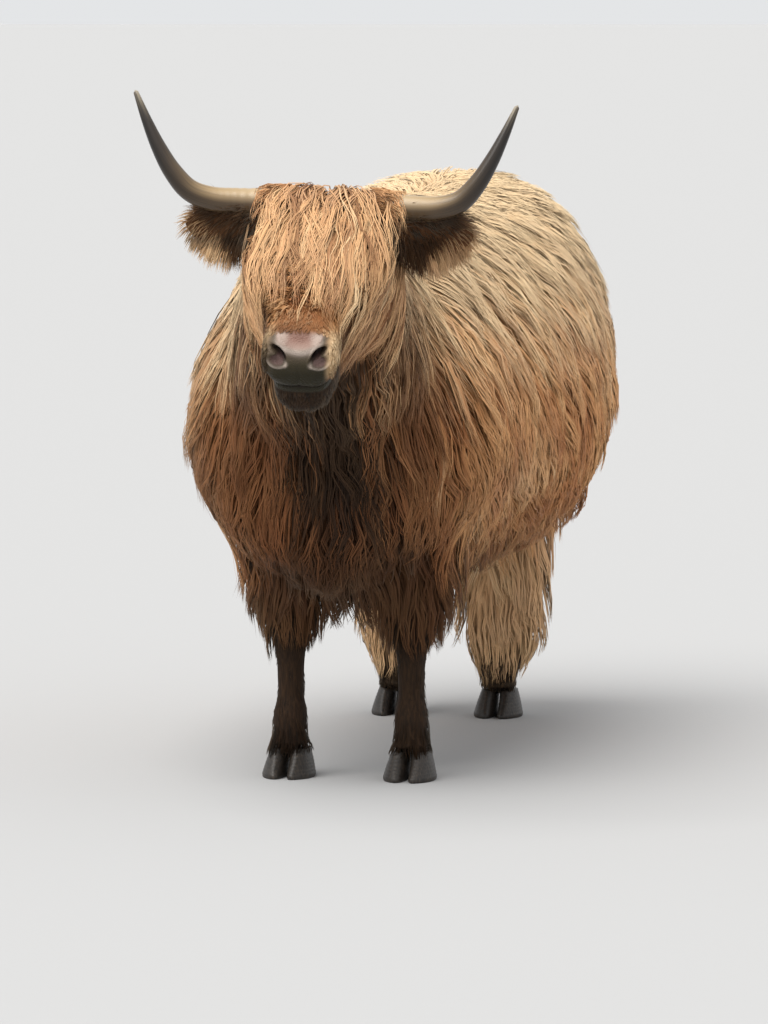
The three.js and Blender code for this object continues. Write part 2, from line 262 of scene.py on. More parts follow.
# A centripetal Catmull-Rom curve through the points, in even steps.
def curvePath(points, count):
    points = np.asarray(points, float)
    before, after = 2 * points[0] - points[1], 2 * points[-1] - points[-2]
    knots = np.concatenate([before[None], points, after[None]])
    fine = []
    for i in range(1, len(knots) - 2):
        p0, p1, p2, p3 = knots[i - 1:i + 3]
        d0, d1, d2 = (np.linalg.norm(q - p) ** 0.5 for p, q in ((p0, p1), (p1, p2), (p2, p3)))
        t1 = ((p1 - p0) / d0 - (p2 - p0) / (d0 + d1) + (p2 - p1) / d1) * d1
        t2 = ((p2 - p1) / d1 - (p3 - p1) / (d1 + d2) + (p3 - p2) / d2) * d1
        square, cube = 3 * (p2 - p1) - 2 * t1 - t2, 2 * (p1 - p2) + t1 + t2
        for t in np.arange(curveSteps) / curveSteps:
            fine.append(p1 + t1 * t + square * t ** 2 + cube * t ** 3)
    fine.append(points[-1])
    fine = np.array(fine)
    run = np.concatenate([[0], np.cumsum(np.linalg.norm(np.diff(fine, axis=0), axis=1))])
    marks = np.linspace(0, run[-1], count)
    return np.stack([np.interp(marks, run, fine[:, k]) for k in range(3)], 1)


def addAttribute(mesh, name, values):
    layer = mesh.attributes.new(name, "FLOAT_VECTOR", "POINT")
    layer.data.foreach_set("vector", np.asarray(values, np.float32).ravel())


viewSet = {
    "azimuth": 12.5,
    "distance": 11.5,
    "height": 1.535,
    "aside": -0.067,
    "pitch": 4.94,
    "lens": 200.1,
    "sensor": 36,
    "reach": 6000,
}
foreFeet = -0.42
hindFeet = 0.66


def makeCamera():
    turn = math.radians(viewSet["azimuth"])
    right = np.array([math.cos(turn), math.sin(turn), 0])
    forward = np.array([-math.sin(turn), math.cos(turn), 0])
    feet = np.array([0, foreFeet, 0]) + origin
    place = feet - forward * viewSet["distance"] - right * viewSet["aside"]
    camera = addObject("camera", bpy.data.cameras.new("camera"))
    camera.location = (*place[:2], viewSet["height"])
    camera.rotation_euler = (math.radians(90 - viewSet["pitch"]), 0, turn)
    camera.data.lens = viewSet["lens"]
    camera.data.sensor_fit = "VERTICAL"
    camera.data.sensor_height = viewSet["sensor"]
    camera.data.clip_end = viewSet["reach"]
    bpy.context.scene.camera = camera


lightSet = {
    "sky": 0.80,
    "sky colour": (0.97, 0.985, 1.0, 1),
    "sun": 3.0,
    "sun colour": (1.0, 0.98, 0.95),
    "sun spread": 55,
    "sun turn": (24, -14, 0),
    "floor colour": (0.48, 0.48, 0.48, 1),
    "floor size": 4000,
    "floor roughness": 0.9,
    "floor specular": 0.1,
}


def makeStage():
    bpy.ops.mesh.primitive_plane_add(size=lightSet["floor size"], location=(0, 0, 0))
    floor = bpy.context.active_object
    floor.name = "floor"
    paint = bpy.data.materials.new("pale floor")
    paint.use_nodes = True
    surface = paint.node_tree.nodes["Principled BSDF"]
    surface.inputs["Base Color"].default_value = lightSet["floor colour"]
    surface.inputs["Roughness"].default_value = lightSet["floor roughness"]
    surface.inputs["Specular IOR Level"].default_value = lightSet["floor specular"]
    floor.data.materials.append(paint)
    world = bpy.data.worlds.new("studio")
    bpy.context.scene.world = world
    world.use_nodes = True
    sky = world.node_tree.nodes["Background"]
    sky.inputs["Color"].default_value = lightSet["sky colour"]
    sky.inputs["Strength"].default_value = lightSet["sky"]
    lamp = bpy.data.lights.new("overhead", "SUN")
    lamp.energy = lightSet["sun"]
    lamp.color = lightSet["sun colour"]
    lamp.angle = math.radians(lightSet["sun spread"])
    addObject("overhead", lamp).rotation_euler = [math.radians(angle) for angle in lightSet["sun turn"]]


makeCamera()
makeStage()
bpy.context.scene.view_settings.view_transform = "Standard"
report("camera, floor and light")


legNodes = [f"leg_{end}_{side}_{part}" for end in ("fore", "hind")
            for side in ("left", "right") for part in ("upper", "lower")]
trunkNodes = ["hindquarters", "barrel", "forequarters", "neck", "head", "muzzle"] + legNodes
tailNodes = ["tail_dock", "tail_switch"]

# Depths run from the coat's outside to the skin, and the tables give them by height or along the head.
skinSet = {
    "hull voxel": 0.012,
    "udder voxel": 0.008,
    "skin voxel": 0.0095,
    "flank depth": 0.048,
    "belly depth": 0.050,
    "back depth": -0.020,
    "rump depth": 0.05,
    "fore leg": [(0.20, 0.004), (0.28, 0.005), (0.31, 0.012), (0.36, 0.028), (0.42, 0.034)],
    "hind leg": [(0.105, 0.004), (0.13, 0.010), (0.16, 0.026), (0.22, 0.038), (0.30, 0.044), (0.45, 0.046),
                 (0.55, 0.05)],
    "hock": 0.35,
    "face": [(-0.05, 0.032), (0.08, 0.026), (0.2, 0.022), (0.27, 0.016), (0.33, 0.007), (0.38, 0.001)],
}


def coatDepth(p, n):
    y, z = p[:, 1], p[:, 2]
    depth = skinSet["flank depth"] + skinSet["belly depth"] * ramp(0.2, 0.9, -n[:, 2])
    depth = depth + skinSet["back depth"] * ramp(0.35, 0.95, n[:, 2])
    depth = mixed(depth, skinSet["rump depth"], ramp(0.75, 0.88, y) * ramp(0.9, 0.3, n[:, 2]))
    hindLeg = levels(skinSet["hind leg"], z) * (1 + skinSet["hock"] * n[:, 1] * np.where(n[:, 1] > 0, 1, 1.3))
    leg = np.where(y < 0.1, levels(skinSet["fore leg"], z), hindLeg)
    depth = mixed(leg, depth, ramp(0.39, 0.47, z))
    return mixed(depth, levels(skinSet["face"], headMeasures(p)[1]), ramp(-0.90, -0.95, y))


tailSet = {
    "path": [(0.80, 1.135), (0.86, 1.128), (0.905, 1.085), (0.922, 1.0), (0.924, 0.82), (0.912, 0.65),
             (0.902, 0.52), (0.897, 0.42)],
    "radius": [0.034, 0.032, 0.026, 0.021, 0.017, 0.014, 0.012, 0.008],
    "rings": 40,
    "sides": 16,
}


def makeTailCore():
    rings, given = tailSet["rings"], tailSet["radius"]
    path = curvePath([(0, y, z) for y, z in tailSet["path"]], rings)
    radii = np.interp(np.linspace(0, 1, rings), np.linspace(0, 1, len(given)), given)
    ahead = unit(np.gradient(path, axis=0))
    side = np.array([1.0, 0, 0])
    rows = [{"centre": spot, "across": side, "upward": np.cross(side, way), "width": radius, "top": radius,
             "bottom": radius} for spot, way, radius in zip(path, ahead, radii)]
    ends = (path[0] - ahead[0] * 0.02, path[-1] + ahead[-1] * 0.006)
    return loftShape("tail core", rows, tailSet["sides"], ends)


def makeHull(name, nodes, size):
    shapes = [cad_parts[node] for node in nodes]
    hull = meshObject(name, *gathered(shapes, [trianglesOf(shape).tolist() for shape in shapes]))
    weld(hull)
    applyModifier(hull, "REMESH", mode="VOXEL", voxel_size=size)
    return hull


def refine(shape, within):
    work = bmesh.new()
    work.from_mesh(shape.data)
    inside = within(np.array([v.co[:] for v in work.verts]) - origin)
    edges = [e for e in work.edges if inside[e.verts[0].index] and inside[e.verts[1].index]]
    bmesh.ops.subdivide_edges(work, edges=edges, cuts=1, use_grid_fill=True, smooth=0.0)
    work.to_mesh(shape.data)
    work.free()


eyeSet = {"radius": 0.020, "place": (0.090, 0.168, -0.062), "aside": 0.05, "rings": 34, "sides": 40}


def nearEye(p, along, off):
    hx, hs, hn = headMeasures(p)
    _, eyeAlong, eyeOff = eyeSet["place"]
    return (hs - eyeAlong) / along, (hn - eyeOff) / off, np.abs(hx) > eyeSet["aside"]


def wholeHead(p):
    _, hs, hn = headMeasures(p)
    return (hs > 0.03) & (p[:, 1] < -0.9) & (hn > -0.30)


def fineHead(p):
    along, off, aside = nearEye(p, 0.05, 0.045)
    eyes = (np.abs(along) < 1) & (np.abs(off) < 1) & aside
    return wholeHead(p) & ((headMeasures(p)[1] > 0.375) | eyes)


muzzleSet = {
    "nostril": (0.0345, -0.0360),
    "nostril size": (0.0068, 0.0165),
    "nostril lean": 54.0,
    "nostril bend": 0.22,
    "nostril depth": 0.024,
    "nostril flare": 0.003,
    "floor": (0.0410, -0.0475),
    "floor size": (0.0135, 0.0080),
    "floor depth": 0.0080,
    "ridge": (-0.0290, 5.5),
    "mouth": (-0.108, 0.10, -0.9),
}


# The slit leans outward to its upper end, over a shallow floor on its outer and lower side.
def nostrilMeasure(hx, hn):
    lean = math.radians(muzzleSet["nostril lean"])
    u = np.abs(hx) - muzzleSet["nostril"][0]
    v = hn - muzzleSet["nostril"][1]
    long = v * math.cos(lean) + u * math.sin(lean)
    short = u * math.cos(lean) - v * math.sin(lean)
    wide, tall = muzzleSet["nostril size"]
    slit = np.hypot((short - muzzleSet["nostril bend"] * long * long / tall) / wide, long / tall)
    across, high = muzzleSet["floor size"]
    well = np.hypot((np.abs(hx) - muzzleSet["floor"][0]) / across, (hn - muzzleSet["floor"][1]) / high)
    return slit, well


# What the fades on the head are measured by.
def headTable(p):
    hx, hs, hn = headMeasures(p)
    slit, well = nostrilMeasure(hx, hn)
    ridge, ridgeBend = muzzleSet["ridge"]
    mouth, rise, droop = muzzleSet["mouth"]
    _, eyeAlong, eyeOff = eyeSet["place"]
    ring = np.hypot((hs - eyeAlong) / 0.0235, (hn - eyeOff - 0.12 * (hs - eyeAlong)) / 0.0150)
    return {
        "across": hx, "aside": np.abs(hx), "along": hs, "off": hn, "slit": slit, "well": well,
        "nostril": np.minimum(slit, well), "gap": hn - (ridge + ridgeBend * hx ** 2),
        "line": hn - (mouth + rise * np.maximum(0.46 - hs, 0) + droop * hx ** 2), "ring": ring,
    }


atNose = ("along", 0.42, 0.45)
atMouth = ("along", 0.345, 0.37)
atCheek = ("aside", 0.05, 0.07)

# How far each form stands out from the skin, and what bounds it.
sculptSet = {
    "rim": (0.0034, [("near nostril", 1.40, 0.25), atNose, ("off", -0.075, -0.062)]),
    "ridge": (0.0055, [("near gap", 0, 0.0065), ("aside", 0.050, 0.034), atNose, ("slit", 0.9, 1.4)]),
    "dip": (-0.0036, [("near gap", 0.012, 0.007), ("near across", 0, 0.026), atNose]),
    "groove": (-0.0022, [("near across", 0, 0.0035), ("off", -0.045, -0.065), ("off", -0.115, -0.1), atNose]),
    "mouth": (-0.0085, [("near line", 0, 0.0042), atMouth]),
    "upper lip": (0.0035, [("near line", 0.013, 0.010), atMouth]),
    "lower lip": (0.00315, [("near line", -0.013, 0.010), atMouth]),
    "pads": (0.004, [("near aside", 0.036, 0.022), ("near off", -0.086, 0.018), atNose]),
    "wings": (0.004, [("near aside", 0.052, 0.016), ("near off", -0.020, 0.018), atNose]),
    "chin": (0.006, [("near across", 0, 0.03), ("near off", -0.165, 0.022), ("along", 0.39, 0.43)]),
    "eye socket": (-0.014, [("ring", 1.15, 0.7), atCheek]),
    "eyelids": (0.0050, [("near ring", 1.35, 0.26), atCheek]),
    "brow": (0.006, [("near along", 0.168, 0.045), ("near off", -0.028, 0.014), atCheek]),
    "below the eye": (-0.004, [("near along", 0.215, 0.02), ("near off", -0.085, 0.014), atCheek]),
}


def sculptHead(p, n):
    table = headTable(p)
    hollow = shareOf(table, [("slit", 1.25, 0.45), atNose])
    well = shareOf(table, [("well", 1.15, 0.5), atNose])
    sunk = muzzleSet["nostril depth"] * hollow + muzzleSet["floor depth"] * well
    flare = muzzleSet["nostril flare"] * hollow * np.sign(table["across"])
    raised = sum(height * shareOf(table, fades) for height, fades in sculptSet.values())
    return p + n * raised[:, None] - headAlong * sunk[:, None] + headAcross * flare[:, None]


def faceMasks(p):
    table = headTable(p)
    aside, line = table["aside"], table["line"]
    brow = 0.006 + 0.010 * hump(0.030, 0.020, aside) - 0.30 * np.maximum(aside - 0.042, 0)
    pad = ramp(0.424, 0.440, table["along"] + 2.0 * aside ** 2)
    pad = pad * ramp(0.068, 0.047, np.abs(table["across"] + 0.001))
    pad = pad * ramp(brow + 0.003, brow - 0.003, table["off"]) * ramp(-0.004, 0.002, line)
    lip = shareOf(table, [("along", 0.40, 0.43), ("line", 0.004, -0.002), ("line", -0.022, -0.012)])
    hollow = shareOf(table, [("slit", 1.10, 0.70), atNose])
    seam = shareOf(table, [("near line", 0, 0.0045), ("along", 0.36, 0.40)])
    return pad, lip, hollow, seam


footSet = {
    "places": [(0.126, foreFeet), (-0.126, foreFeet), (0.092, hindFeet), (-0.140, hindFeet)],
    "reach": 0.11,
    "top": 0.2,
    "girth": [(0.055, 1.16), (0.066, 1.14), (0.084, 0.90), (0.110, 1.03), (0.135, 1.04), (0.165, 0.96),
              (0.2, 1.0)],
}


def shapePasterns(p):
    for footX, footY in footSet["places"]:
        apart = np.hypot(p[:, 0] - footX, p[:, 1] - footY)
        near = (apart < footSet["reach"]) & (p[:, 2] < footSet["top"])
        girth = levels(footSet["girth"], p[near, 2])
        p[near, 0] = footX + (p[near, 0] - footX) * girth
        p[near, 1] = footY + (p[near, 1] - footY) * girth
    return p


def makeSkin():
    hull = makeHull("skin", trunkNodes, skinSet["hull voxel"])
    report(f"hull {len(hull.data.vertices)} points")
    points, normals = pointsOf(hull), normalsOf(hull)
    movePoints(hull, points - normals * coatDepth(points, normals)[:, None])
    udder = makeHull("udder copy", ["udder"], skinSet["udder voxel"])
    skin = joined("skin", [hull, makeTailCore(), udder])
    applyModifier(skin, "REMESH", mode="VOXEL", voxel_size=skinSet["skin voxel"])
    applyModifier(skin, "SMOOTH", factor=0.5, iterations=8)
    refine(skin, wholeHead)
    refine(skin, fineHead)
    applyModifier(skin, "SMOOTH", factor=0.4, iterations=2)
    points = pointsOf(skin)
    movePoints(skin, shapePasterns(sculptHead(points, normalsOf(skin))))
    return skin


body = makeSkin()
report(f"body {len(body.data.vertices)} points")
earSet = {
    "root": (0.112, 0.060, -0.052),
    "raised": 0.019,
    "further": 0.016,
    "rows": [
        (-0.014, 0.020, 0.014, 0, 0),
        (0.018, 0.029, 0.011, 0.006, 0.004),
        (0.055, 0.040, 0.008, 0.013, 0.008),
        (0.095, 0.043, 0.007, 0.016, 0.010),
        (0.128, 0.036, 0.006, 0.013, 0.008),
        (0.150, 0.022, 0.005, 0.008, 0.004),
        (0.160, 0.009, 0.004, 0.002, 0.001),
    ],
}


def earAxes(side):
    root = headPoint(side * earSet["root"][0], earSet["root"][1], earSet["root"][2])
    direction = unit(headAcross * side + np.array([0, 0.1, -0.08]))
    root = root - down * earSet["raised"] + direction * (earSet["further"] if side > 0 else 0)
    facing = unit(np.array([side * 0.1, -1, -0.1]))
    across = unit(np.cross(direction, facing))
    front = unit(np.cross(across, direction))
    return root, direction, across * np.sign(across[2]), front


def makeEar(side):
    root, direction, across, front = earAxes(side)
    table = np.array(earSet["rows"])
    stops = np.linspace(table[0, 0], table[-1, 0], 26)
    fine = np.stack([np.interp(stops, table[:, 0], table[:, k]) for k in range(5)], 1)
    for k in range(1, 5):
        fine[1:-1, k] = (fine[:-2, k] + 2 * fine[1:-1, k] + fine[2:, k]) / 4
    rows = [{"centre": root + direction * row[0] - across * row[4], "across": across, "upward": front,
             "width": row[1], "top": row[2], "bottom": row[2], "cup": row[3]} for row in fine]
    tip = root + direction * (stops[-1] + 0.003) - across * fine[-1, 4]
    return loftShape("ear", rows, 28, (root - direction * 0.016, tip))


earShapes = [makeEar(1), makeEar(-1)]
earStarts = np.cumsum([len(shape.data.vertices) for shape in (body, *earShapes)])[:2]
skin = joined("skin", [body, *earShapes])
skin.data.shade_smooth()


def unwrap(shape):
    bpy.ops.object.select_all(action="DESELECT")
    bpy.context.view_layer.objects.active = shape
    shape.select_set(True)
    shape.data.uv_layers.new(name="OFBake")
    bpy.ops.object.mode_set(mode="EDIT")
    bpy.ops.mesh.select_all(action="SELECT")
    bpy.ops.uv.smart_project(angle_limit=math.radians(66), island_margin=0.002)
    bpy.ops.object.mode_set(mode="OBJECT")


unwrap(skin)
report("skin unwrapped")


# How far each place is from the skin, and from the coat's outside.

gridSet = {"step": 0.022, "margin": 0.06, "reach": 0.24}
gridLow = np.array(cadBox[0]) - origin - gridSet["margin"]
gridHigh = np.array(cadBox[1]) - origin + gridSet["margin"]
gridCount = np.ceil((gridHigh - gridLow) / gridSet["step"]).astype(int) + 1


def makeField(shape):
    tree = BVHTree.FromPolygons(pointsOf(shape).tolist(), trianglesOf(shape).tolist())
    axes = [gridLow[k] + np.arange(gridCount[k]) * gridSet["step"] for k in range(3)]
    places = np.stack(np.meshgrid(*axes, indexing="ij"), -1).reshape(-1, 3)
    values = np.zeros((len(places), 4))
    values[:, 0] = gridSet["reach"]
    for index, place in enumerate(places.tolist()):
        spot, normal, _, apart = tree.find_nearest(place, gridSet["reach"])
        if spot is not None:
            sign = 1 if (Vector(place) - spot).dot(normal) > 0 else -1
            values[index] = (sign * apart, *normal)
    return values.reshape(*gridCount, 4)


def readField(field, places):
    spot = np.clip((places - gridLow) / gridSet["step"], 0, gridCount - 1.001)
    cell = spot.astype(int)
    part = spot - cell
    total = 0
    for corner in range(8):
        pick = [(corner >> k) & 1 for k in range(3)]
        share = np.prod([part[..., k] if pick[k] else 1 - part[..., k] for k in range(3)], axis=0)
        index = tuple(cell[..., k] + pick[k] for k in range(3))
        total = total + field[index] * share[..., None]
    return total[..., 0], unit(total[..., 1:])


skinField = makeField(skin)
report("skin field")
outside = makeHull("outside", trunkNodes + tailNodes + ["forelock"], 0.014)
outsideField = makeField(outside)
dropShape(outside)
report("coat field")


rng = np.random.default_rng(11)
hairScale = 1.0
coatPieces = []


hornSet = {
    "centre": (0, 0.026, -0.024),
    "route": [(84, -6, 16), (130, 0, 11), (176, 8, 11), (221, 17, 14), (263, 24, 29), (296, 26, 64),
              (324, 22, 110), (349, 14, 162), (371, 4, 214)],
    "taper": 1.6,
    "base": 0.028,
    "tip": 0.005,
    "rings": 90,
    "sides": 36,
}


# The skin is sampled by triangle, with the ears' share of it known by the points' order.

def readSkin():
    points, normals, corners = pointsOf(skin), normalsOf(skin), trianglesOf(skin)
    loops = readValues(skin.data.loop_triangles, "loops", 3, np.int32)
    maps = readValues(skin.data.uv_layers["OFBake"].data, "uv", 2)
    places = points[corners]
    sides = np.cross(places[:, 1] - places[:, 0], places[:, 2] - places[:, 0])
    return {"places": places, "normals": normals[corners], "maps": maps[loops],
            "area": np.linalg.norm(sides, axis=1) / 2, "middle": places.mean(1),
            "facing": unit(normals[corners].mean(1)),
            "ear": np.searchsorted(earStarts, corners[:, 0], side="right")}


faces = readSkin()


def sampleRoots(weight, count):
    picked = rng.choice(len(weight), count, p=weight / weight.sum())
    first, second = rng.random((2, count))
    fold = first + second > 1
    first, second = np.where(fold, 1 - first, first), np.where(fold, 1 - second, second)
    share = np.stack([1 - first - second, first, second], 1)[..., None]
    roots = (faces["places"][picked] * share).sum(1)
    outward = unit((faces["normals"][picked] * share).sum(1))
    return roots, outward, (faces["maps"][picked] * share).sum(1)


def leadsOf(roots, share):
    chosen = rng.choice(len(roots), max(2, int(len(roots) * share)), replace=False)
    tree = KDTree(len(chosen))
    for index in chosen:
        tree.insert(roots[index], int(index))
    tree.balance()
    return np.array([tree.find(place)[1] for place in roots.tolist()])


def shareOut(plan, lead, share):
    for key in ("length", "layer", "proud"):
        plan[key] = mixed(plan[key], plan[key][lead], share)


# Each lock is walked forward from its root, held to its layer of the coat and under the outline.
growSet = {
    "root depth": (0.004, 0.0012),
    "least room": 0.003,
    "rising": 0.35,
    "sinking": 0.16,
    "clearance": 0.4,
    "kept in": 0.6,
    "evenings": 2,
}


def growLocks(roots, outward, plan, lieOf, segments, keepOff=None):
    steps = segments * 2
    stride = (plan["length"] / steps)[:, None]
    path = np.empty((len(roots), segments + 1, 3))
    short = plan.get("short", np.zeros(len(roots)))[:, None]
    here = roots - outward * mixed(*growSet["root depth"], short)
    path[:, 0] = here
    heading = unit(lieOf(here, outward) + outward * plan["lift"][:, None])
    for step in range(1, steps + 1):
        part = step / steps
        here = here + heading * stride
        height, away = readField(skinField, here)
        beyond, hullAway = readField(outsideField, here)
        room = np.maximum(height - beyond, growSet["least room"])
        aim = plan["layer"] * room * ramp(0, plan["rise"], part)
        hanging = ramp(0.15, -0.35, away[:, 2]) * plan["hang"]
        pace = np.where(height < aim, growSet["rising"], growSet["sinking"])
        shift = (aim - height) * pace * (1 - hanging)
        shift = np.maximum(shift, plan["width"] * growSet["clearance"] - height)
        here = here + away * shift[:, None]
        here = here - hullAway * (np.maximum(beyond - plan["proud"], 0) * growSet["kept in"])[:, None]
        if keepOff:
            here = keepOff(here)
        wanted = lieOf(here, away)
        wanted = unit(wanted + np.cross(away, wanted) * plan["sweep"][:, None])
        heading = unit(mixed(heading, wanted, plan["turn"][:, None]))
        if step % 2 == 0:
            path[:, step // 2] = here
    for _ in range(growSet["evenings"]):
        evened = (path[:, :-2] + 2 * path[:, 1:-1] + path[:, 2:]) / 4
        path[:, 1:-1] = mixed(evened, path[:, 1:-1], short[:, None])
    return path


def drape(lie, away):
    lean = (lie * away).sum(-1, keepdims=True)
    return unit(lie - away * lean * np.where(lean > 0, 0.12, 1.0))


def pullTogether(path, lead, strength, power):
    part = np.linspace(0, 1, path.shape[1])[None, :, None]
    path += (path[lead] - path) * strength[:, None, None] * part ** power


waveSet = {"reach": (0.5, 1.2), "pitch": (0.8, 1.25), "shared": 0.85, "own": 0.25, "lifted": 0.35}


def waveLocks(path, plan, lead, outward):
    count, rings = path.shape[:2]
    part = np.linspace(0, 1, rings)[None]
    turns = 2 * math.pi * (part * plan["length"][:, None])
    side = unit(np.cross(unit(path[:, -1] - path[:, 0]), outward))
    phase = rng.uniform(0, 2 * math.pi, (3, count))
    reach = rng.uniform(*waveSet["reach"], count)
    pitch = plan["pitch"] * rng.uniform(*waveSet["pitch"], count)
    shared = np.sin(turns / pitch[lead][:, None] + phase[0][lead][:, None])
    own = np.sin(turns / (pitch * 0.9)[:, None] + phase[1][:, None])
    lifted = np.cos(turns / (pitch * 1.1)[:, None] + phase[2][lead][:, None])
    size = (plan["wave"] * reach[lead])[:, None] * ramp(0, 0.45, part)
    path += side[:, None] * (size * (waveSet["shared"] * shared + waveSet["own"] * own))[..., None]
    path += outward[:, None] * (size * waveSet["lifted"] * lifted)[..., None]


lockSet = {
    "root width": 0.62,
    "full at": 0.45,
    "taper": 1.8,
    "roll": 0.7,
    "patch": 0.003,
}


def lockFaces(rings):
    loops, sizes, spots = [], [], []
    for k in range(rings - 1):
        for j in range(3):
            a, b = 3 * k + j, 3 * k + (j + 1) % 3
            loops += [a, b, b + 3, a + 3]
            sizes.append(4)
            spots += [(j / 3, k / rings), ((j + 1) / 3, k / rings),
                      ((j + 1) / 3, (k + 1) / rings), (j / 3, (k + 1) / rings)]
    last = 3 * (rings - 1)
    for j in range(3):
        loops += [last + j, last + (j + 1) % 3, 3 * rings]
        sizes.append(3)
        spots += [(j / 3, (rings - 1) / rings), ((j + 1) / 3, (rings - 1) / rings), ((j + 0.5) / 3, 1)]
    loops += [2, 1, 0]
    sizes.append(3)
    spots += [(0, 0), (0.5, 0), (0.25, 0.25)]
    return np.array(loops), np.array(sizes), np.array(spots)


def lockObject(name, path, plan, outward, rootMap, marksAndShade, chance, soft=0.78):
    count, rings = path.shape[0], path.shape[1] - 1
    ahead = unit(np.gradient(path, axis=1))
    away = np.repeat(outward[:, None], rings + 1, axis=1)
    away = unit(readField(outsideField, path)[1] * 0.7 + away * 0.3)
    side = unit(np.cross(ahead, away))
    top = np.cross(side, ahead)
    roll = rng.uniform(-lockSet["roll"], lockSet["roll"], count)[:, None, None]
    side, top = side * np.cos(roll) + top * np.sin(roll), top * np.cos(roll) - side * np.sin(roll)
    part = np.linspace(0, 1, rings + 1)
    swell = np.sin(math.pi * np.minimum(part / lockSet["full at"], 1) / 2)
    outline = mixed(lockSet["root width"], 1, swell) * (1 - part ** lockSet["taper"])
    wide = (plan["width"][:, None] * outline[None])[..., None]
    thick = wide * plan["flat"][:, None, None]
    corners = np.stack([
        path + side * wide / 2 - top * thick / 3,
        path - side * wide / 2 - top * thick / 3,
        path + top * thick * 2 / 3,
    ], axis=2)[:, :rings]
    each = rings * 3 + 1
    points = np.concatenate([corners.reshape(count, -1, 3), path[:, -1:]], axis=1)
    bare = np.stack([side - top, -side - top, top], axis=2)[:, :rings].reshape(count, -1, 3)
    soften = np.repeat(away[:, :rings, None], 3, axis=2).reshape(count, -1, 3)
    normals = unit(mixed(unit(bare), soften, soft))
    normals = np.concatenate([normals, unit(ahead[:, -1:] * 0.3 + away[:, -1:])], axis=1)
    strand = np.empty((count, each, 3))
    strand[:, :-1, 0] = np.repeat(part[:rings], 3)[None]
    strand[:, -1, 0] = 1
    strand[..., 1] = chance[:, None]
    strand[:, :-1, 2] = np.tile([0, 0.34, 0.67], rings)[None]
    strand[:, -1, 2] = 0.5
    loops, sizes, spots = lockFaces(rings)
    allLoops = (loops[None] + (np.arange(count) * each)[:, None]).ravel()
    starts = np.concatenate([[0], np.cumsum(np.tile(sizes, count))[:-1]])
    mesh = bpy.data.meshes.new(name)
    mesh.vertices.add(count * each)
    mesh.vertices.foreach_set("co", (points.reshape(-1, 3) + origin).astype(np.float32).ravel())
    mesh.loops.add(len(allLoops))
    mesh.loops.foreach_set("vertex_index", allLoops.astype(np.int32))
    mesh.polygons.add(len(starts))
    mesh.polygons.foreach_set("loop_start", starts.astype(np.int32))
    mesh.update(calc_edges=True)
    mesh.shade_smooth()
    mapLayer = mesh.uv_layers.new(name="OFBake")
    places = (rootMap[:, None] + spots[None] * lockSet["patch"]).reshape(-1, 2)
    mapLayer.data.foreach_set("uv", places.astype(np.float32).ravel())
    addAttribute(mesh, "strand", strand.reshape(-1, 3))
    addAttribute(mesh, "marksAndShade", np.repeat(marksAndShade, each, axis=0))
    mesh.normals_split_custom_set_from_vertices(normals.reshape(-1, 3).astype(np.float32))
    coatPieces.append(addObject(name, mesh))
    report(f"{name} {count} locks, {count * (6 * rings - 2)} triangles")
    return coatPieces[-1]


# Where the coat is dark, brown or pale, partly as painted shade and painted top light, and how it lies.

def coatTable(p):
    x, y, z = p.T
    fore = np.where(y < 0.1, 1.0, 0.0)
    return {**headTable(p), "x": x, "y": y, "z": z, "wide": np.abs(x), "middle": np.abs(x - 0.03), "fore": fore,
            "hind": 1 - fore}


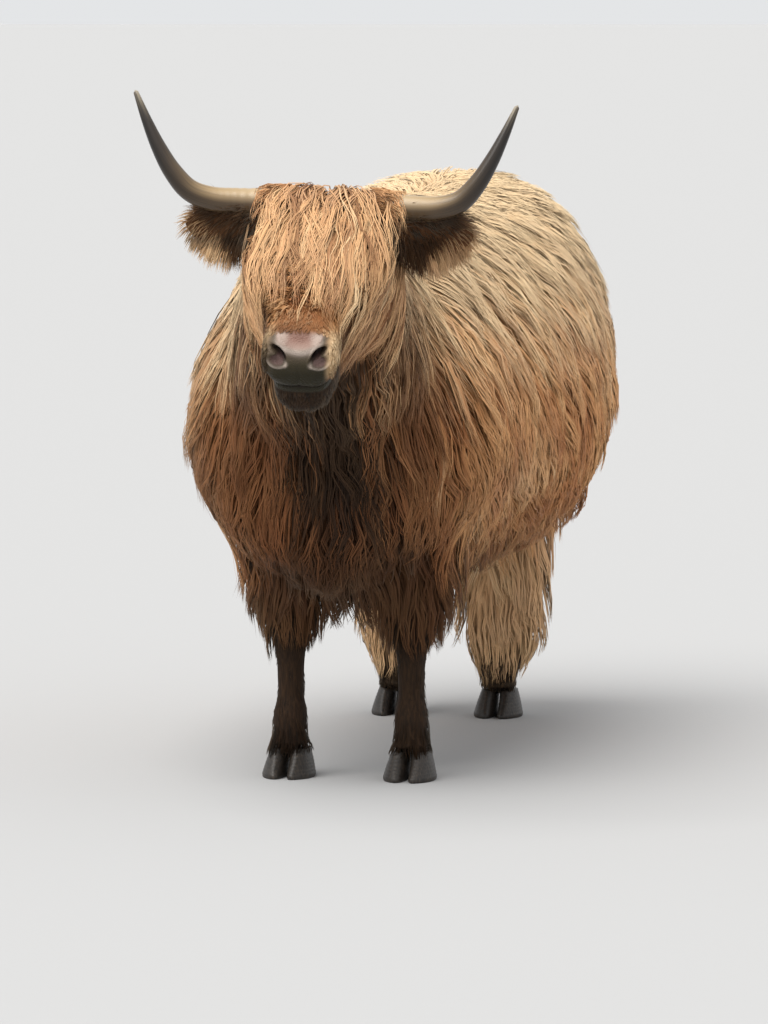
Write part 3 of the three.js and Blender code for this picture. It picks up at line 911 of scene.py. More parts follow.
onHead = [("y", -0.90, -0.94), ("along", -0.02, 0.05)]
inFront = ("y", -0.45, -0.66)
zoneSet = {
    "head": onHead,
    # The bib, chest, between the legs and brisket zones darken partly as dark hair and partly as painted shade
    # under the head and body.
    "shaded bib": [inFront, ("middle", 0.105, 0.05), ("z", 1.0, 0.90), ("z", 0.57, 0.68)],
    "chest": [inFront, ("middle", 0.22, 0.10), ("z", 0.80, 0.66)],
    "breast": [inFront, ("z", 1.05, 0.8)],
    "between the legs": [("z", 0.60, 0.48), ("y", 0.10, -0.15), ("middle", 0.34, 0.22)],
    "brisket": [("z", 0.68, 0.58), ("y", -0.2, -0.4), ("middle", 0.20, 0.12)],
    "outer side": [("wide", 0.17, 0.27)],
    "fore leg": [("z", 0.60, 0.48), ("fore", 0, 1)],
    "fore shank": [("z", 0.385, 0.325), ("fore", 0, 1)],
    "hind leg": [("z", 0.66, 0.40), ("y", 0.30, 0.5)],
    "hind shank": [("z", 0.19, 0.12), ("hind", 0, 1)],
    "chin": [*onHead, ("along", 0.30, 0.38), ("off", -0.104, -0.122)],
    "by the mouth": [*onHead, ("along", 0.36, 0.42), ("off", -0.068, -0.102)],
    "muzzle": [*onHead, ("along", 0.37, 0.42), ("off", -0.104, -0.062)],
    "bridge": [*onHead, ("along", 0.30, 0.38), ("aside", 0.066, 0.048), ("off", -0.03, -0.01)],
    # The throat zone is painted shade under the jaw.
    "shade under the jaw": [("y", -0.86, -0.90), ("aside", 0.30, 0.20), ("off", -0.12, -0.20)],
    # The cheek, behind the cheek and nape zones darken partly as darker hair and partly as painted shade beside
    # the face and under the ears.
    "cheek": [*onHead, ("along", 0.04, 0.12), ("along", 0.42, 0.36), ("off", 0.01, -0.05),
              ("aside", 0.05, 0.075)],
    "behind the cheek": [("along", 0.38, 0.26), ("along", -0.06, 0.02), ("near aside", 0.16, 0.07),
                         ("y", -0.60, -0.72)],
    "nape": [("near x", 0.19, 0.07), ("near z", 1.07, 0.13), ("y", -0.58, -0.68)],
    # The shoulder zone darkens and browns the animal's right shoulder: painted shade on that side.
    "shoulder": [("x", -0.06, -0.2), ("y", -0.2, -0.4), ("z", 0.6, 0.75)],
    "elbow": [("near z", 0.72, 0.07), ("near y", -0.28, 0.13), ("x", 0.15, 0.25)],
    "belly": [("z", 0.66, 0.48), ("y", 0.6, 0.2)],
    "sides": [("z", 0.92, 0.66), ("y", 0.3, -0.2)],
    # The back zone pales the coat towards the top: partly paler hair, partly painted light on the top of the
    # body.
    "back": [("z", 0.84, 1.12)],
}

# The strongest dark marking counts, and the warm and pale ones add up; some of the dark is painted shade and
# some of the pale is painted top light.
markSet = {
    "dark": {"shaded bib": 0.96, "chest": 0.42, "between the legs": 0.74, "brisket": 0.76, "fore leg": 0.66,
             "fore shank": 1, "hind shank": 1, "chin": 1, "by the mouth": 0.55, "shade under the jaw": 0.98, "cheek": 0.52,
             "shoulder": 0.26, "nape": 0.82},
    "warm": {"elbow": -0.3, "breast": 0.7, "belly": 0.45, "sides": 0.30, "cheek": 1, "nape": 0.5,
             "shoulder": 0.3, "bridge": 0.8},
    "pale": {"back": 1, "hind leg": 0.55, "muzzle": 0.80, "elbow": 0.4},
    "lighter outside": 0.26 / 0.66,
}


def coatMarksAndShade(p):
    table = coatTable(p)
    zone = {name: shareOf(table, fades) for name, fades in zoneSet.items()}
    offHead = 1 - zone["head"]
    zone["cheek"] = np.maximum(zone["cheek"], zone["behind the cheek"] * offHead)
    zone["nape"] = zone["nape"] * offHead
    zone["back"] = zone["back"] * offHead * (1 - zone["cheek"]) * (1 - zone["nape"])
    zone["muzzle"] = zone["muzzle"] * (1 - zone["bridge"])
    zone["fore leg"] = zone["fore leg"] * (1 - markSet["lighter outside"] * zone["outer side"])
    dark = np.maximum.reduce([strength * zone[name] for name, strength in markSet["dark"].items()])
    warm, pale = (np.clip(sum(strength * zone[name] for name, strength in markSet[tone].items()), 0, 1)
                  for tone in ("warm", "pale"))
    return np.stack([dark, warm, pale], 1)


lieSet = {
    "backward": [(0.45, 0.12), (0.7, 0.30), (0.95, 0.50), (1.15, 0.75)],
    "backward on chest": 0.15,
    "sideways": (0.55, 0.2),
    "parting": 0.05,
    "backward on legs": 0.10,
    "over hooves": 0.55,
    "face spread": 5.0,
    "cheek forward": 0.45,
}


def coatLie(p, away):
    x, y, z = p.T
    hx, hs, hn = headMeasures(p)
    chest = ramp(-0.45, -0.68, y)
    backward = levels(lieSet["backward"], z) * mixed(1, lieSet["backward on chest"], chest)
    sideways = np.tanh(x / lieSet["parting"]) * mixed(*lieSet["sideways"], chest)
    trunk = np.stack([sideways, backward, -np.ones_like(z)], 1)
    leg = np.array([0, lieSet["backward on legs"], -1])
    lie = mixed(trunk, leg, ramp(0.55, 0.42, z)[:, None])
    lie = lie + away * (lieSet["over hooves"] * ramp(0.115, 0.085, z) * ramp(-0.5, 0.1, away[:, 2]))[:, None]
    face = headAlong[None] + headAcross[None] * (hx * lieSet["face spread"])[:, None]
    cheek = down - headAlong * lieSet["cheek forward"]
    onFace = mixed(cheek, face, ramp(-0.14, -0.05, hn)[:, None])
    lie = mixed(lie, onFace, (ramp(-0.91, -0.95, y) * ramp(0.0, 0.06, hs))[:, None])
    return drape(unit(lie), away)


# Lengths by height or along the head, and how many locks deep they lie by their length.
planSet = {
    "trunk": [(0.45, 0.18), (0.6, 0.23), (0.8, 0.27), (1.0, 0.24), (1.1, 0.17), (1.17, 0.13)],
    "shorter rump": 0.25,
    "fore leg": [(0.085, 0.040), (0.11, 0.026), (0.14, 0.016), (0.27, 0.014), (0.30, 0.04), (0.34, 0.10),
                 (0.45, 0.15), (0.6, 0.21)],
    "hind leg": [(0.085, 0.040), (0.11, 0.040), (0.13, 0.06), (0.18, 0.11), (0.3, 0.15), (0.45, 0.17),
                 (0.6, 0.21)],
    "face": [(-0.05, 0.12), (0.1, 0.10), (0.2, 0.085), (0.28, 0.055), (0.34, 0.028), (0.40, 0.016),
             (0.48, 0.010)],
    "cheek and brow": (1.3, 0.6),
    "tail": [(0.42, 0.20), (0.5, 0.24), (0.7, 0.24), (0.9, 0.13), (1.1, 0.10)],
    "udder": (-0.012, 0.41, 0.13, 0.50),
    "udder length": 0.02,
    "udder cover": 0.3,
    "cover": [(0.012, 1.6), (0.02, 2.4), (0.035, 3.6), (0.06, 5.5), (0.1, 6.5)],
    "leg cover": [(0.014, 0.8), (0.03, 3.0), (0.05, 4.5)],
    "hoof cover": 5.0,
}


def coatPlan(p, n):
    x, y, z = p.T
    _, hs, hn = headMeasures(p)
    length = levels(planSet["trunk"], z) * (1 - planSet["shorter rump"] * ramp(0.75, 0.86, y))
    leg = np.where(y < 0.1, levels(planSet["fore leg"], z), levels(planSet["hind leg"], z))
    length = mixed(leg, length, ramp(0.42, 0.56, z))
    face = levels(planSet["face"], hs)
    face = face * mixed(mixed(*planSet["cheek and brow"], ramp(-0.16, -0.04, hn)), 1.0, ramp(0.28, 0.34, hs))
    length = mixed(length, face, shareOf({"y": y, "along": hs}, onHead))
    length = mixed(length, levels(planSet["tail"], z), ramp(0.87, 0.885, y) * (np.abs(x) < 0.08))
    udderX, udderY, reach, top = planSet["udder"]
    bare = (np.hypot(x - udderX, y - udderY) < reach) & (z < top) & (n[:, 2] < 0.3)
    length = np.where(bare, planSet["udder length"], length)
    cover = levels(planSet["cover"], length)
    cover = np.where(z < 0.36, np.minimum(cover, levels(planSet["leg cover"], length)), cover)
    cover = np.where(bare, planSet["udder cover"], cover) + planSet["hoof cover"] * ramp(0.11, 0.085, z)
    pad, lip, hollow, _ = faceMasks(p)
    along, off, aside = nearEye(p, 0.028, 0.019)
    naked = (pad > 0.35) | (lip > 0.6) | (hollow > 0.1) | ((np.hypot(along, off) < 1) & aside)
    return {"length": length, "cover": np.where(naked, 0, cover)}


coatSet = {
    "slimness": 0.022,
    "finest": 0.0018,
    "widest": 0.0046,
    "stray width": 0.0024,
    "stray": 0.10,
    "length": (0.72, 1.2),
    "width": (0.7, 1.25),
    "flat": (0.28, 0.5),
    "lift": (0.55, 0.25),
    "lift on back": 0.6,
    "rise": (0.4, 0.15),
    "stray proud": (0.006, 0.022),
    "proud": (-0.003, 0.006),
    "proud on snout": 0.004,
    "turn": (0.30, 0.45),
    "wave": 0.042,
    "pitch": 0.62,
    "gathered": 0.70,
    "stray gathered": 0.15,
    "tufts": 0.30,
    "wisps": 0.045,
    "wisp sweep": 0.16,
    "sweep": 0.05,
    "blurred marks": (0.02, 0.003),
}


def lockWidth(length):
    return np.clip(length * coatSet["slimness"], coatSet["finest"], coatSet["widest"])


# Where the coat stands further out, and by how much.
fullSet = {
    "back": (0.018, [("z", 1.02, 1.14), ("y", -0.85, -0.75)]),
    "shoulder": (0.014, [("x", -0.15, -0.22), ("near z", 0.94, 0.10), ("y", -0.25, -0.4)]),
    "thigh": (0.014, [("x", 0.14, 0.2), ("z", 0.60, 0.52), ("y", 0.4, 0.5)]),
    "under": (0.030, [("z", 0.66, 0.52), ("y", -0.62, -0.5), ("y", 0.6, 0.45)]),
}


def fullPlan(p, n, wider):
    count = len(p)
    table = coatTable(p)
    plan = coatPlan(p, n)
    stray = rng.random(count) < coatSet["stray"]
    short = ramp(0.06, 0.03, plan["length"])
    onBack = shareOf(table, fullSet["back"][1])
    snout = short * ramp(-0.90, -0.94, table["y"])
    length = plan["length"] * rng.uniform(*coatSet["length"], count)
    width = lockWidth(plan["length"]) * rng.uniform(*coatSet["width"], count) * wider
    flat = rng.uniform(*coatSet["flat"], count)
    lift = mixed(*coatSet["lift"], short) * rng.uniform(0.6, 1.4, count) + coatSet["lift on back"] * onBack
    layer = mixed(rng.beta(1.25, 1.15, count) * 0.98, rng.uniform(0.5, 1.3, count), snout)
    proud = np.where(stray, rng.uniform(*coatSet["stray proud"], count), rng.uniform(*coatSet["proud"], count))
    proud = proud + sum(reach * shareOf(table, fades) for reach, fades in fullSet.values())
    return {
        "length": length,
        "width": np.where(stray, coatSet["stray width"], width),
        "flat": flat,
        "lift": lift,
        "layer": layer,
        "rise": mixed(*coatSet["rise"], onBack),
        "proud": proud + coatSet["proud on snout"] * snout,
        "turn": mixed(*coatSet["turn"], short) * rng.uniform(0.8, 1.2, count),
        "hang": np.ones(count),
        "stray": stray,
        "short": short,
        "wave": length * coatSet["wave"],
        "pitch": np.clip(length * coatSet["pitch"], 0.02, 0.15),
    }


def regionOf(p):
    x, y, z = p.T
    _, hs, hn = headMeasures(p)
    side = np.where(x > 0, "left", "right")
    names = np.where(y < 0.02, "shoulder", np.where(y < 0.42, "barrel", "rump"))
    names = np.char.add(np.char.add(names, "_"), side)
    names = np.where((y < -0.58) & (z > 0.3), "neck", names)
    onFace = (y < -0.905) & (hs > 0.0) & (hn > -0.30)
    names = np.where(onFace, np.where(hs > 0.29, "nose", "face"), names)
    short = np.where(y < 0.1, z < 0.31, z < 0.13)
    names = np.where(short, "feet", names)
    lower = np.where(y < 0.1, z < 0.48, z < 0.56) & ~short
    names = np.where(lower & (y < 0.1) & (y > -0.58), "foreleg", names)
    names = np.where(lower & (y > 0.48) & (y < 0.87), "hindleg", names)
    return np.where((y > 0.872) & (np.abs(x) < 0.07), "tail", names)


# locks and the rings along each, for every region
regionSet = {
    "shoulder_left": (6400, 5), "shoulder_right": (4600, 5), "barrel_left": (5400, 5),
    "barrel_right": (3800, 4), "rump_left": (4800, 4), "rump_right": (4000, 4), "neck": (5800, 5),
    "face": (4000, 4), "nose": (6400, 2), "feet": (2600, 2), "foreleg": (2600, 4), "hindleg": (2800, 4),
    "tail": (1100, 5),
}


def growCoat():
    plan = coatPlan(faces["middle"], faces["facing"])
    weight = faces["area"] * plan["cover"] / (0.6 * plan["length"] * lockWidth(plan["length"]))
    region = np.where(faces["ear"] > 0, "ear", regionOf(faces["middle"]))
    for name, (locks, segments) in regionSet.items():
        here = weight * (region == name)
        count = int(locks * hairScale)
        wider = min(max(here.sum() / count, 0.8), 1.7)
        roots, outward, rootMap = sampleRoots(here, count)
        plan = fullPlan(roots, outward, wider)
        tuft, wisp = leadsOf(roots, coatSet["tufts"]), leadsOf(roots, coatSet["wisps"])
        plan["sweep"] = rng.normal(0, coatSet["wisp sweep"], count)[wisp]
        plan["sweep"] = plan["sweep"] + rng.normal(0, coatSet["sweep"], count)
        shareOut(plan, wisp, 0.7)
        path = growLocks(roots, outward, plan, coatLie, segments)
        pull = np.where(plan["stray"], coatSet["stray gathered"], coatSet["gathered"])
        pull = pull * (1 - 0.5 * plan["short"])
        pullTogether(path, tuft, pull, 0.9)
        pullTogether(path, wisp, pull * rng.uniform(0.6, 1.0, count), 1.6)
        waveLocks(path, plan, wisp, outward)
        chance = 0.14 * rng.random(count) + 0.18 * rng.random(count)[tuft] + 0.36 * rng.random(count)[wisp]
        # Locks lying deeper in the coat take a darker tone: painted shade within the coat.
        chance = np.clip(0.5 + 1.25 * (chance + 0.30 * plan["layer"] - 0.5), 0, 1)
        strewn = mixed(*coatSet["blurred marks"], plan["short"] * (roots[:, 1] < -0.9))[:, None]
        marks = coatMarksAndShade(roots + rng.normal(0, 1, (count, 3)) * strewn)
        report(f"{name} covered by {wider:.2f}")
        lockObject(f"coat_{name}", path, plan, outward, rootMap, marks, chance)


growCoat()

# Hair of the ears: short and dark within the cup, long and pale round its edge.

earHairSet = {
    "locks": 2100,
    "segments": 3,
    "width": 0.0027,
    "inside": 0.038,
    "fringe": 0.058,
    "lower fringe": 0.060,
}


def earHair(side, name):
    root, direction, across, front = earAxes(side)
    high = (faces["middle"] - root) @ across
    out = (faces["middle"] - root) @ direction
    weight = faces["area"] * (faces["ear"] == (1 if side > 0 else 2))
    weight = weight * (1 + 4.0 * ramp(0.010, 0.03, np.abs(high))) * ramp(-0.01, 0.02, out)
    count = int(earHairSet["locks"] * hairScale)
    roots, outward, rootMap = sampleRoots(weight, count)
    high, out = (roots - root) @ across, (roots - root) @ direction
    inner = ramp(-0.2, 0.4, outward @ front)
    lower = ramp(0.0, -0.025, high)
    edge = np.maximum(ramp(0.012, 0.028, np.abs(high)), ramp(0.11, 0.14, out))
    palest = ramp(0.008, -0.008, high + 0.028 - 0.9 * (out - 0.083)) * ramp(0.03, 0.07, out)
    palest = np.maximum(palest, ramp(0.125, 0.145, out) * ramp(0.0, 0.02, high))
    length = mixed(earHairSet["inside"], mixed(earHairSet["fringe"], earHairSet["lower fringe"], lower), edge)
    length = length * (1 - 0.42 * ramp(0.06, 0.15, out)) * rng.uniform(0.6, 1.2, count)
    lie = direction * (0.45 + 0.55 * ramp(0.06, 0.15, out))[:, None] + across * (high * 20)[:, None]
    lie = lie + down * (0.40 + 0.45 * lower)[:, None] + front * (0.22 * inner - 0.12)[:, None]
    lie = unit(lie + rng.normal(0, 0.13, (count, 3)))
    segments = earHairSet["segments"]
    path = np.empty((count, segments + 1, 3))
    here, heading = roots - outward * 0.002, unit(lie + outward * 0.5)
    path[:, 0] = here
    for k in range(1, segments + 1):
        here = here + heading * (length / segments)[:, None]
        heading = unit(mixed(heading, lie, 0.4) + down * 0.20)
        path[:, k] = here
    plan = {"length": length, "width": earHairSet["width"] * rng.uniform(0.6, 1.3, count),
            "flat": rng.uniform(0.35, 0.6, count), "wave": length * 0.04, "pitch": np.full(count, 0.07)}
    lead = leadsOf(roots, 0.09)
    pullTogether(path, lead, rng.uniform(0.15, 0.55, count), 1.4)
    waveLocks(path, plan, lead, outward)
    dark = 0.86 * (1 - 0.88 * palest) * mixed(0.8, 1, inner) * (1 - 0.35 * ramp(0.10, 0.15, out))
    warm, pale = 0.8 * (1 - palest) + 0.35 * inner * palest, 0.60 * palest * mixed(1, 0.75, inner)
    marksAndShade = np.stack([dark, warm, pale], 1)
    chance = 0.4 * rng.random(count) + 0.6 * rng.random(count)[lead]
    lockObject(name, path, plan, outward, rootMap, marksAndShade, chance, soft=0.6)


earHair(1, "ear_fringe_left")
earHair(-1, "ear_fringe_right")

# The forelock: a darker layer beneath, partly darker hair and partly painted shade under the top strands, and
# fine wavy strands over it and over the roots of the horns.

forelockSet = {
    "under": {"locks": 800, "segments": 7, "length": (0.22, 0.38), "width": 0.0080, "layer": (0.05, 0.5),
              "stand": 0.3, "marks": (0.36, 0.85, 0.0)},
    "over": {"locks": 2750, "segments": 10, "length": (0.23, 0.455), "width": 0.0031, "layer": (0.55, 1.0),
             "stand": 1.1, "marks": (0.0, 0.16, 0.38)},
}


def hornPath(side):
    centre = headPoint(*hornSet["centre"])
    knots = [centre + headAcross * side * out / 1000 + headLevel * ahead / 1000 - down * rise / 1000
             for out, ahead, rise in hornSet["route"]]
    return curvePath(knots, hornSet["rings"])


def clearHorns(p):
    for side in (1, -1):
        axis = hornPath(side)[:36:3]
        apart = p[:, None] - axis[None]
        away = np.linalg.norm(apart, axis=2)
        nearest = away.argmin(1)
        each = np.arange(len(p))
        offset = apart[each, nearest]
        offset = offset - headAcross * (offset @ headAcross)[:, None]
        far = np.linalg.norm(offset, axis=1)
        short = np.maximum(hornSet["base"] + 0.004 - far, 0) * (away[each, nearest] < 0.045)
        p = p + offset / np.maximum(far, 1e-6)[:, None] * short[:, None]
    return p


def forelockLie(p, away):
    hx, hs, _ = headMeasures(p)
    lie = headAlong[None] + headAcross[None] * (hx * 2.8 * ramp(0.22, 0.0, hs))[:, None]
    lie = lie + down[None] * (0.35 + 0.9 * ramp(0.07, 0.14, np.abs(hx)))[:, None]
    lean = (lie * away).sum(-1, keepdims=True)
    return unit(lie - away * lean * np.where(lean > 0, 0.0, 1.0))


def makeForelock(layer):
    given = forelockSet[layer]
    count, segments = int(given["locks"] * hairScale), given["segments"]
    hx, hs, hn = headMeasures(faces["middle"])
    crown = ramp(-0.080, -0.050, hs) * ramp(0.20, 0.04, hs) * ramp(-0.1, 0.3, faces["facing"] @ headOff)
    crown = crown * (1 - 0.85 * ramp(0.03, 0.10, hs) * ramp(0.07, 0.10, np.abs(hx)))
    weight = faces["area"] * crown * (np.abs(hx) < 0.135) * (hn > -0.13) * (faces["ear"] == 0)
    roots, outward, rootMap = sampleRoots(weight, count)
    hx, hs, hn = headMeasures(roots)
    length = rng.uniform(*given["length"], count) - 0.6 * np.clip(hs, 0, 0.3)
    outer = ramp(0.07, 0.12, np.abs(hx))
    length = length * (1 - 0.05 * hump(0, 0.05, hx)) * (1 - 0.22 * outer)
    plan = {
        "length": length,
        "width": given["width"] * rng.uniform(0.6, 1.35, count) / (0.6 + 0.4 * hairScale),
        "flat": rng.uniform(0.35, 0.6, count),
        "lift": rng.uniform(0.5, 1.0, count) * given["stand"],
        "layer": rng.uniform(*given["layer"], count),
        "rise": np.full(count, 0.06),
        "proud": rng.uniform(0.003, 0.014, count) * given["stand"],
        "turn": rng.uniform(0.2, 0.35, count),
        "hang": np.zeros(count),
        "wave": length * 0.027,
        "pitch": np.full(count, 0.17),
    }
    strand, swathe = leadsOf(roots, 0.14), leadsOf(roots, 0.03)
    plan["sweep"] = rng.normal(0, 0.13, count)[swathe] + rng.normal(0, 0.04, count)[strand]
    shareOut(plan, strand, 0.6)
    path = growLocks(roots, outward, plan, forelockLie, segments, clearHorns)
    pullTogether(path, strand, rng.uniform(0.6, 0.95, count), 0.8)
    pullTogether(path, swathe, rng.uniform(0.25, 0.8, count), 1.2)
    waveLocks(path, plan, strand, outward)
    chance = 0.15 * rng.random(count) + 0.45 * rng.random(count)[strand] + 0.40 * rng.random(count)[swathe]
    chance = np.clip(0.5 + 1.5 * (chance - 0.46), 0, 1)
    dark, warm, pale = given["marks"]
    brown = rng.random(count)[strand] * (rng.random(count)[strand] < 0.42)
    warm = np.clip(warm + 1.1 * brown, 0, 1)
    pale = pale * (1 - brown) * (1 - 0.6 * outer)
    # Strands beside the eyes are darker and browner: partly browner hair, partly painted shade by the eyes.
    marksAndShade = np.stack([dark + 0.22 * brown + 0.18 * outer, np.clip(warm + 0.4 * outer, 0, 1), pale], 1)
    return lockObject(f"coat_forelock_{layer}", path, plan, outward, rootMap, marksAndShade, chance, soft=0.6)


forelock = [makeForelock("under"), makeForelock("over")]

# hair that lies outward over the root of each horn
collarSet = {"locks": 260, "segments": 4, "length": (0.06, 0.12), "width": 0.0034, "from": (0.066, 0.100),
             "further": 0.018, "marks": (0.0, 0.15, 0.35)}


def makeCollar(side, name):
    count, segments = int(collarSet["locks"] * hairScale), collarSet["segments"]
    hx, hs, hn = headMeasures(faces["middle"])
    near = np.hypot(hs - hornSet["centre"][1], hn - hornSet["centre"][2])
    weight = faces["area"] * ramp(0.06, 0.045, near) * (hx * side > 0.05) * (faces["ear"] == 0)
    _, _, rootMap = sampleRoots(weight, count)
    route, begin = hornPath(side)[:60], hornSet["route"][0][0] / 1000
    start = rng.uniform(*collarSet["from"], count) + (collarSet["further"] if side > 0 else 0)
    angle = rng.uniform(-2.5, 1.9, count)
    length = rng.uniform(*collarSet["length"], count)
    lift = rng.uniform(0.001, 0.010, count)
    path = np.empty((count, segments + 1, 3))
    spread = np.linalg.norm(route - route[0], axis=1) + begin
    for k in range(segments + 1):
        part = k / segments
        along = start + length * part * mixed(0.95, 0.45, part)
        centre = np.stack([np.interp(along, spread, route[:, i]) for i in range(3)], 1)
        inward = route[0] + headAcross * side * (along - begin)[:, None]
        centre = np.where((along < begin)[:, None], inward, centre)
        turned = angle + np.sign(angle) * 0.35 * part * (start < begin)
        radius = hornSet["base"] - 0.004 + (0.005 + lift) * ramp(0, 0.3, part)
        outward = -down * np.cos(turned)[:, None] + headLevel * np.sin(turned)[:, None]
        path[:, k] = centre + outward * radius[:, None] + down * (length * 0.45 * part ** 2)[:, None]
    path = clearHorns(path.reshape(-1, 3)).reshape(path.shape)
    outward = unit(-down * np.cos(angle)[:, None] + headLevel * np.sin(angle)[:, None])
    plan = {"length": length, "width": collarSet["width"] * rng.uniform(0.6, 1.3, count),
            "flat": rng.uniform(0.35, 0.6, count), "wave": length * 0.03, "pitch": np.full(count, 0.09)}
    lead = leadsOf(path[:, 0].copy(), 0.2)
    pullTogether(path, lead, rng.uniform(0.3, 0.7, count), 1.2)
    waveLocks(path, plan, lead, outward)
    chance = 0.4 * rng.random(count) + 0.6 * rng.random(count)[lead]
    marksAndShade = np.tile(collarSet["marks"], (count, 1))
    lockObject(name, path, plan, outward, rootMap, marksAndShade, chance, soft=0.4)


makeCollar(1, "horn_hair_left")
makeCollar(-1, "horn_hair_right")


def makeHorn(name, side):
    path = hornPath(side)
    tangent = unit(np.gradient(path, axis=0))
    part = np.linspace(0, 1, len(path))
    radius = hornSet["base"] - (hornSet["base"] - hornSet["tip"]) * part ** hornSet["taper"]
    ripple = np.sin(part * 150 + 2 * np.sin(part * 23)) * 0.00055 * ramp(0.42, 0.08, part)
    rows = []
    for spot, ahead, size in zip(path, tangent, radius + ripple):
        across = unit(np.cross(ahead, headLevel))
        rows.append({"centre": spot, "across": across, "upward": unit(np.cross(across, ahead)), "width": size,
                     "top": size, "bottom": size})
    horn = loftShape(name, rows, hornSet["sides"], (path[0], path[-1] + tangent[-1] * hornSet["tip"]))
    points = pointsOf(horn)
    nearest = np.linalg.norm(points[:, None] - path[None], axis=2).argmin(1)
    offset = points - path[nearest]
    angle = np.arctan2((offset * headLevel).sum(1), offset[:, 2])
    addAttribute(horn.data, "grain", np.stack([part[nearest], np.cos(angle), np.sin(angle)], 1))
    return horn


horns = [makeHorn("horn_shape_left", 1), makeHorn("horn_shape_right", -1)]

hoofSet = {"width": 0.050, "length": 0.112, "height": 0.058, "splay": 0.028, "inward": 0.010, "rings": 26,
           "sides": 32}


def makeClaw(name, footX, footY, side):
    half, long = hoofSet["width"] / 2, hoofSet["length"]
    x = footX + side * hoofSet["splay"]
    table = np.array([
        (x, footY - 0.020, 0, half - 0.0015, long * 0.54 - 0.002, long * 0.46 - 0.001, 1.8),
        (x, footY - 0.020, 0.002, half, long * 0.54, long * 0.46, 1.8),
        (x, footY - 0.020, 0.008, half + 0.0005, long * 0.535, long * 0.46, 1.8),
        (x - side * 0.0035, footY - 0.010, 0.034, half - 0.0030, long * 0.42, long * 0.42, 1.9),
        (x - side * 0.0075, footY - 0.002, hoofSet["height"], half - 0.0065, long * 0.31, long * 0.36, 2.0),
    ])
    heights = np.concatenate([[0, 0.002], np.linspace(0.005, hoofSet["height"], hoofSet["rings"])])
    fine = np.stack([np.interp(heights, table[:, 2], table[:, k]) for k in range(7)], 1)
    rows = []
    for row in fine:
        swell = 0.0004 * math.sin(row[2] * 900) * float(ramp(0.004, 0.012, row[2]))
        rows.append({"centre": row[:3], "across": np.array([1.0, 0, 0]), "upward": np.array([0, 1.0, 0]),
                     "width": row[3] + swell, "top": row[5] + swell, "bottom": row[4] + swell,
                     "topPower": 2.4, "bottomPower": row[6]})
    ends = ((x, footY - 0.02, 0), (x, footY, hoofSet["height"] + 0.0005))
    claw = loftShape(name, rows, hoofSet["sides"], ends)
    points = pointsOf(claw)
    forward = np.clip((footY - 0.02 - points[:, 1]) / (long * 0.54), 0, 1)
    points[:, 0] -= side * hoofSet["inward"] * forward ** 2
    movePoints(claw, points)
    return claw


legs = [(end, leg) for end in ("fore", "hind") for leg in ("left", "right")]
claws = [makeClaw(f"hoof_{end}_{leg}_{toe}", *place, side) for (end, leg), place in zip(legs, footSet["places"])
         for toe, side in (("left", 1), ("right", -1))]


def makeEye(name, side):
    centre = headPoint(side * eyeSet["place"][0], *eyeSet["place"][1:])
    aim = unit(headAcross * side + headAlong * 0.30 + headOff * 0.12)
    first = unit(np.cross(aim, headOff))
    second = np.cross(first, aim)
    angles = np.linspace(0, math.pi, eyeSet["rings"])
    rows = []
    for angle in angles[1:-1]:
        bulge = 1 + 0.05 * float(ramp(0.62, 0.35, angle))
        ring = eyeSet["radius"] * math.sin(angle) * bulge
        rows.append({"centre": centre + aim * eyeSet["radius"] * math.cos(angle) * bulge, "across": first,
                     "upward": second, "width": ring, "top": ring, "bottom": ring})
    ends = (centre + aim * eyeSet["radius"] * 1.05, centre - aim * eyeSet["radius"])
    eye = loftShape(name, rows, eyeSet["sides"], ends)
    offset = pointsOf(eye) - centre
    gaze = np.stack([offset @ first, offset @ second, offset @ aim], 1)
    addAttribute(eye.data, "gaze", gaze / eyeSet["radius"])
    return eye


eyes = [makeEye("eye_shape_left", 1), makeEye("eye_shape_right", -1)]
report("horns, hooves and eyes")


def finishSkin():
    points, normals = pointsOf(skin), normalsOf(skin)
    order = np.searchsorted(earStarts, np.arange(len(points)), side="right")
    onEar = order > 0
    pad, lip, hollow, seam = (np.where(onEar, 0, mask) for mask in faceMasks(points))
    marks = coatMarksAndShade(points)
    for number, side in ((1, 1), (2, -1)):
        front = earAxes(side)[3]
        inner = ramp(-0.1, 0.4, normals @ front)
        within = np.stack([0.75 * inner, 0.4 + 0.5 * inner, 0.4 * (1 - inner)], 1)
        marks = np.where((order == number)[:, None], within, marks)
    addAttribute(skin.data, "marksAndShade", marks)
    x, y, z = points.T
    udder = ramp(0.16, 0.10, np.hypot(x + 0.012, y - 0.41)) * ramp(0.53, 0.47, z)
    addAttribute(skin.data, "bare", np.stack([np.maximum(pad, lip), np.maximum(hollow, seam), udder], 1))
    table = headTable(points)
    # The ridge, its sides and the nostril rims are made paler: partly the nose's own colour, partly painted
    # highlight.
    above = ramp(0.002, 0.007, table["gap"])
    ridge = shareOf(table, [("near gap", 0, 0.0060), ("aside", 0.050, 0.036)])
    beside = 0.70 * above * ramp(0.012, 0.034, table["aside"])
    rim = 0.70 * shareOf(table, [("near well", 1.40, 0.25), ("off", -0.044, -0.052)])
    lighter = np.maximum.reduce([ridge, beside, rim])
    addAttribute(skin.data, "muzzle", np.stack([above, lighter, ramp(1.15, 0.85, table["well"])], 1))


finishSkin()


# A socket given as an input is linked, and any other value is set.
def fill(socket, value):
    if isinstance(value, bpy.types.NodeSocket):
        socket.id_data.links.new(value, socket)
    else:
        socket.default_value = value


def newNode(tree, kind, inputs, **settings):
    node = tree.nodes.new(kind)
    node.location = (220 * len(tree.nodes), 0)
    for name, value in settings.items():
        setattr(node, name, value)
    for key, value in inputs.items():
        fill(node.inputs[key], value)
    return node


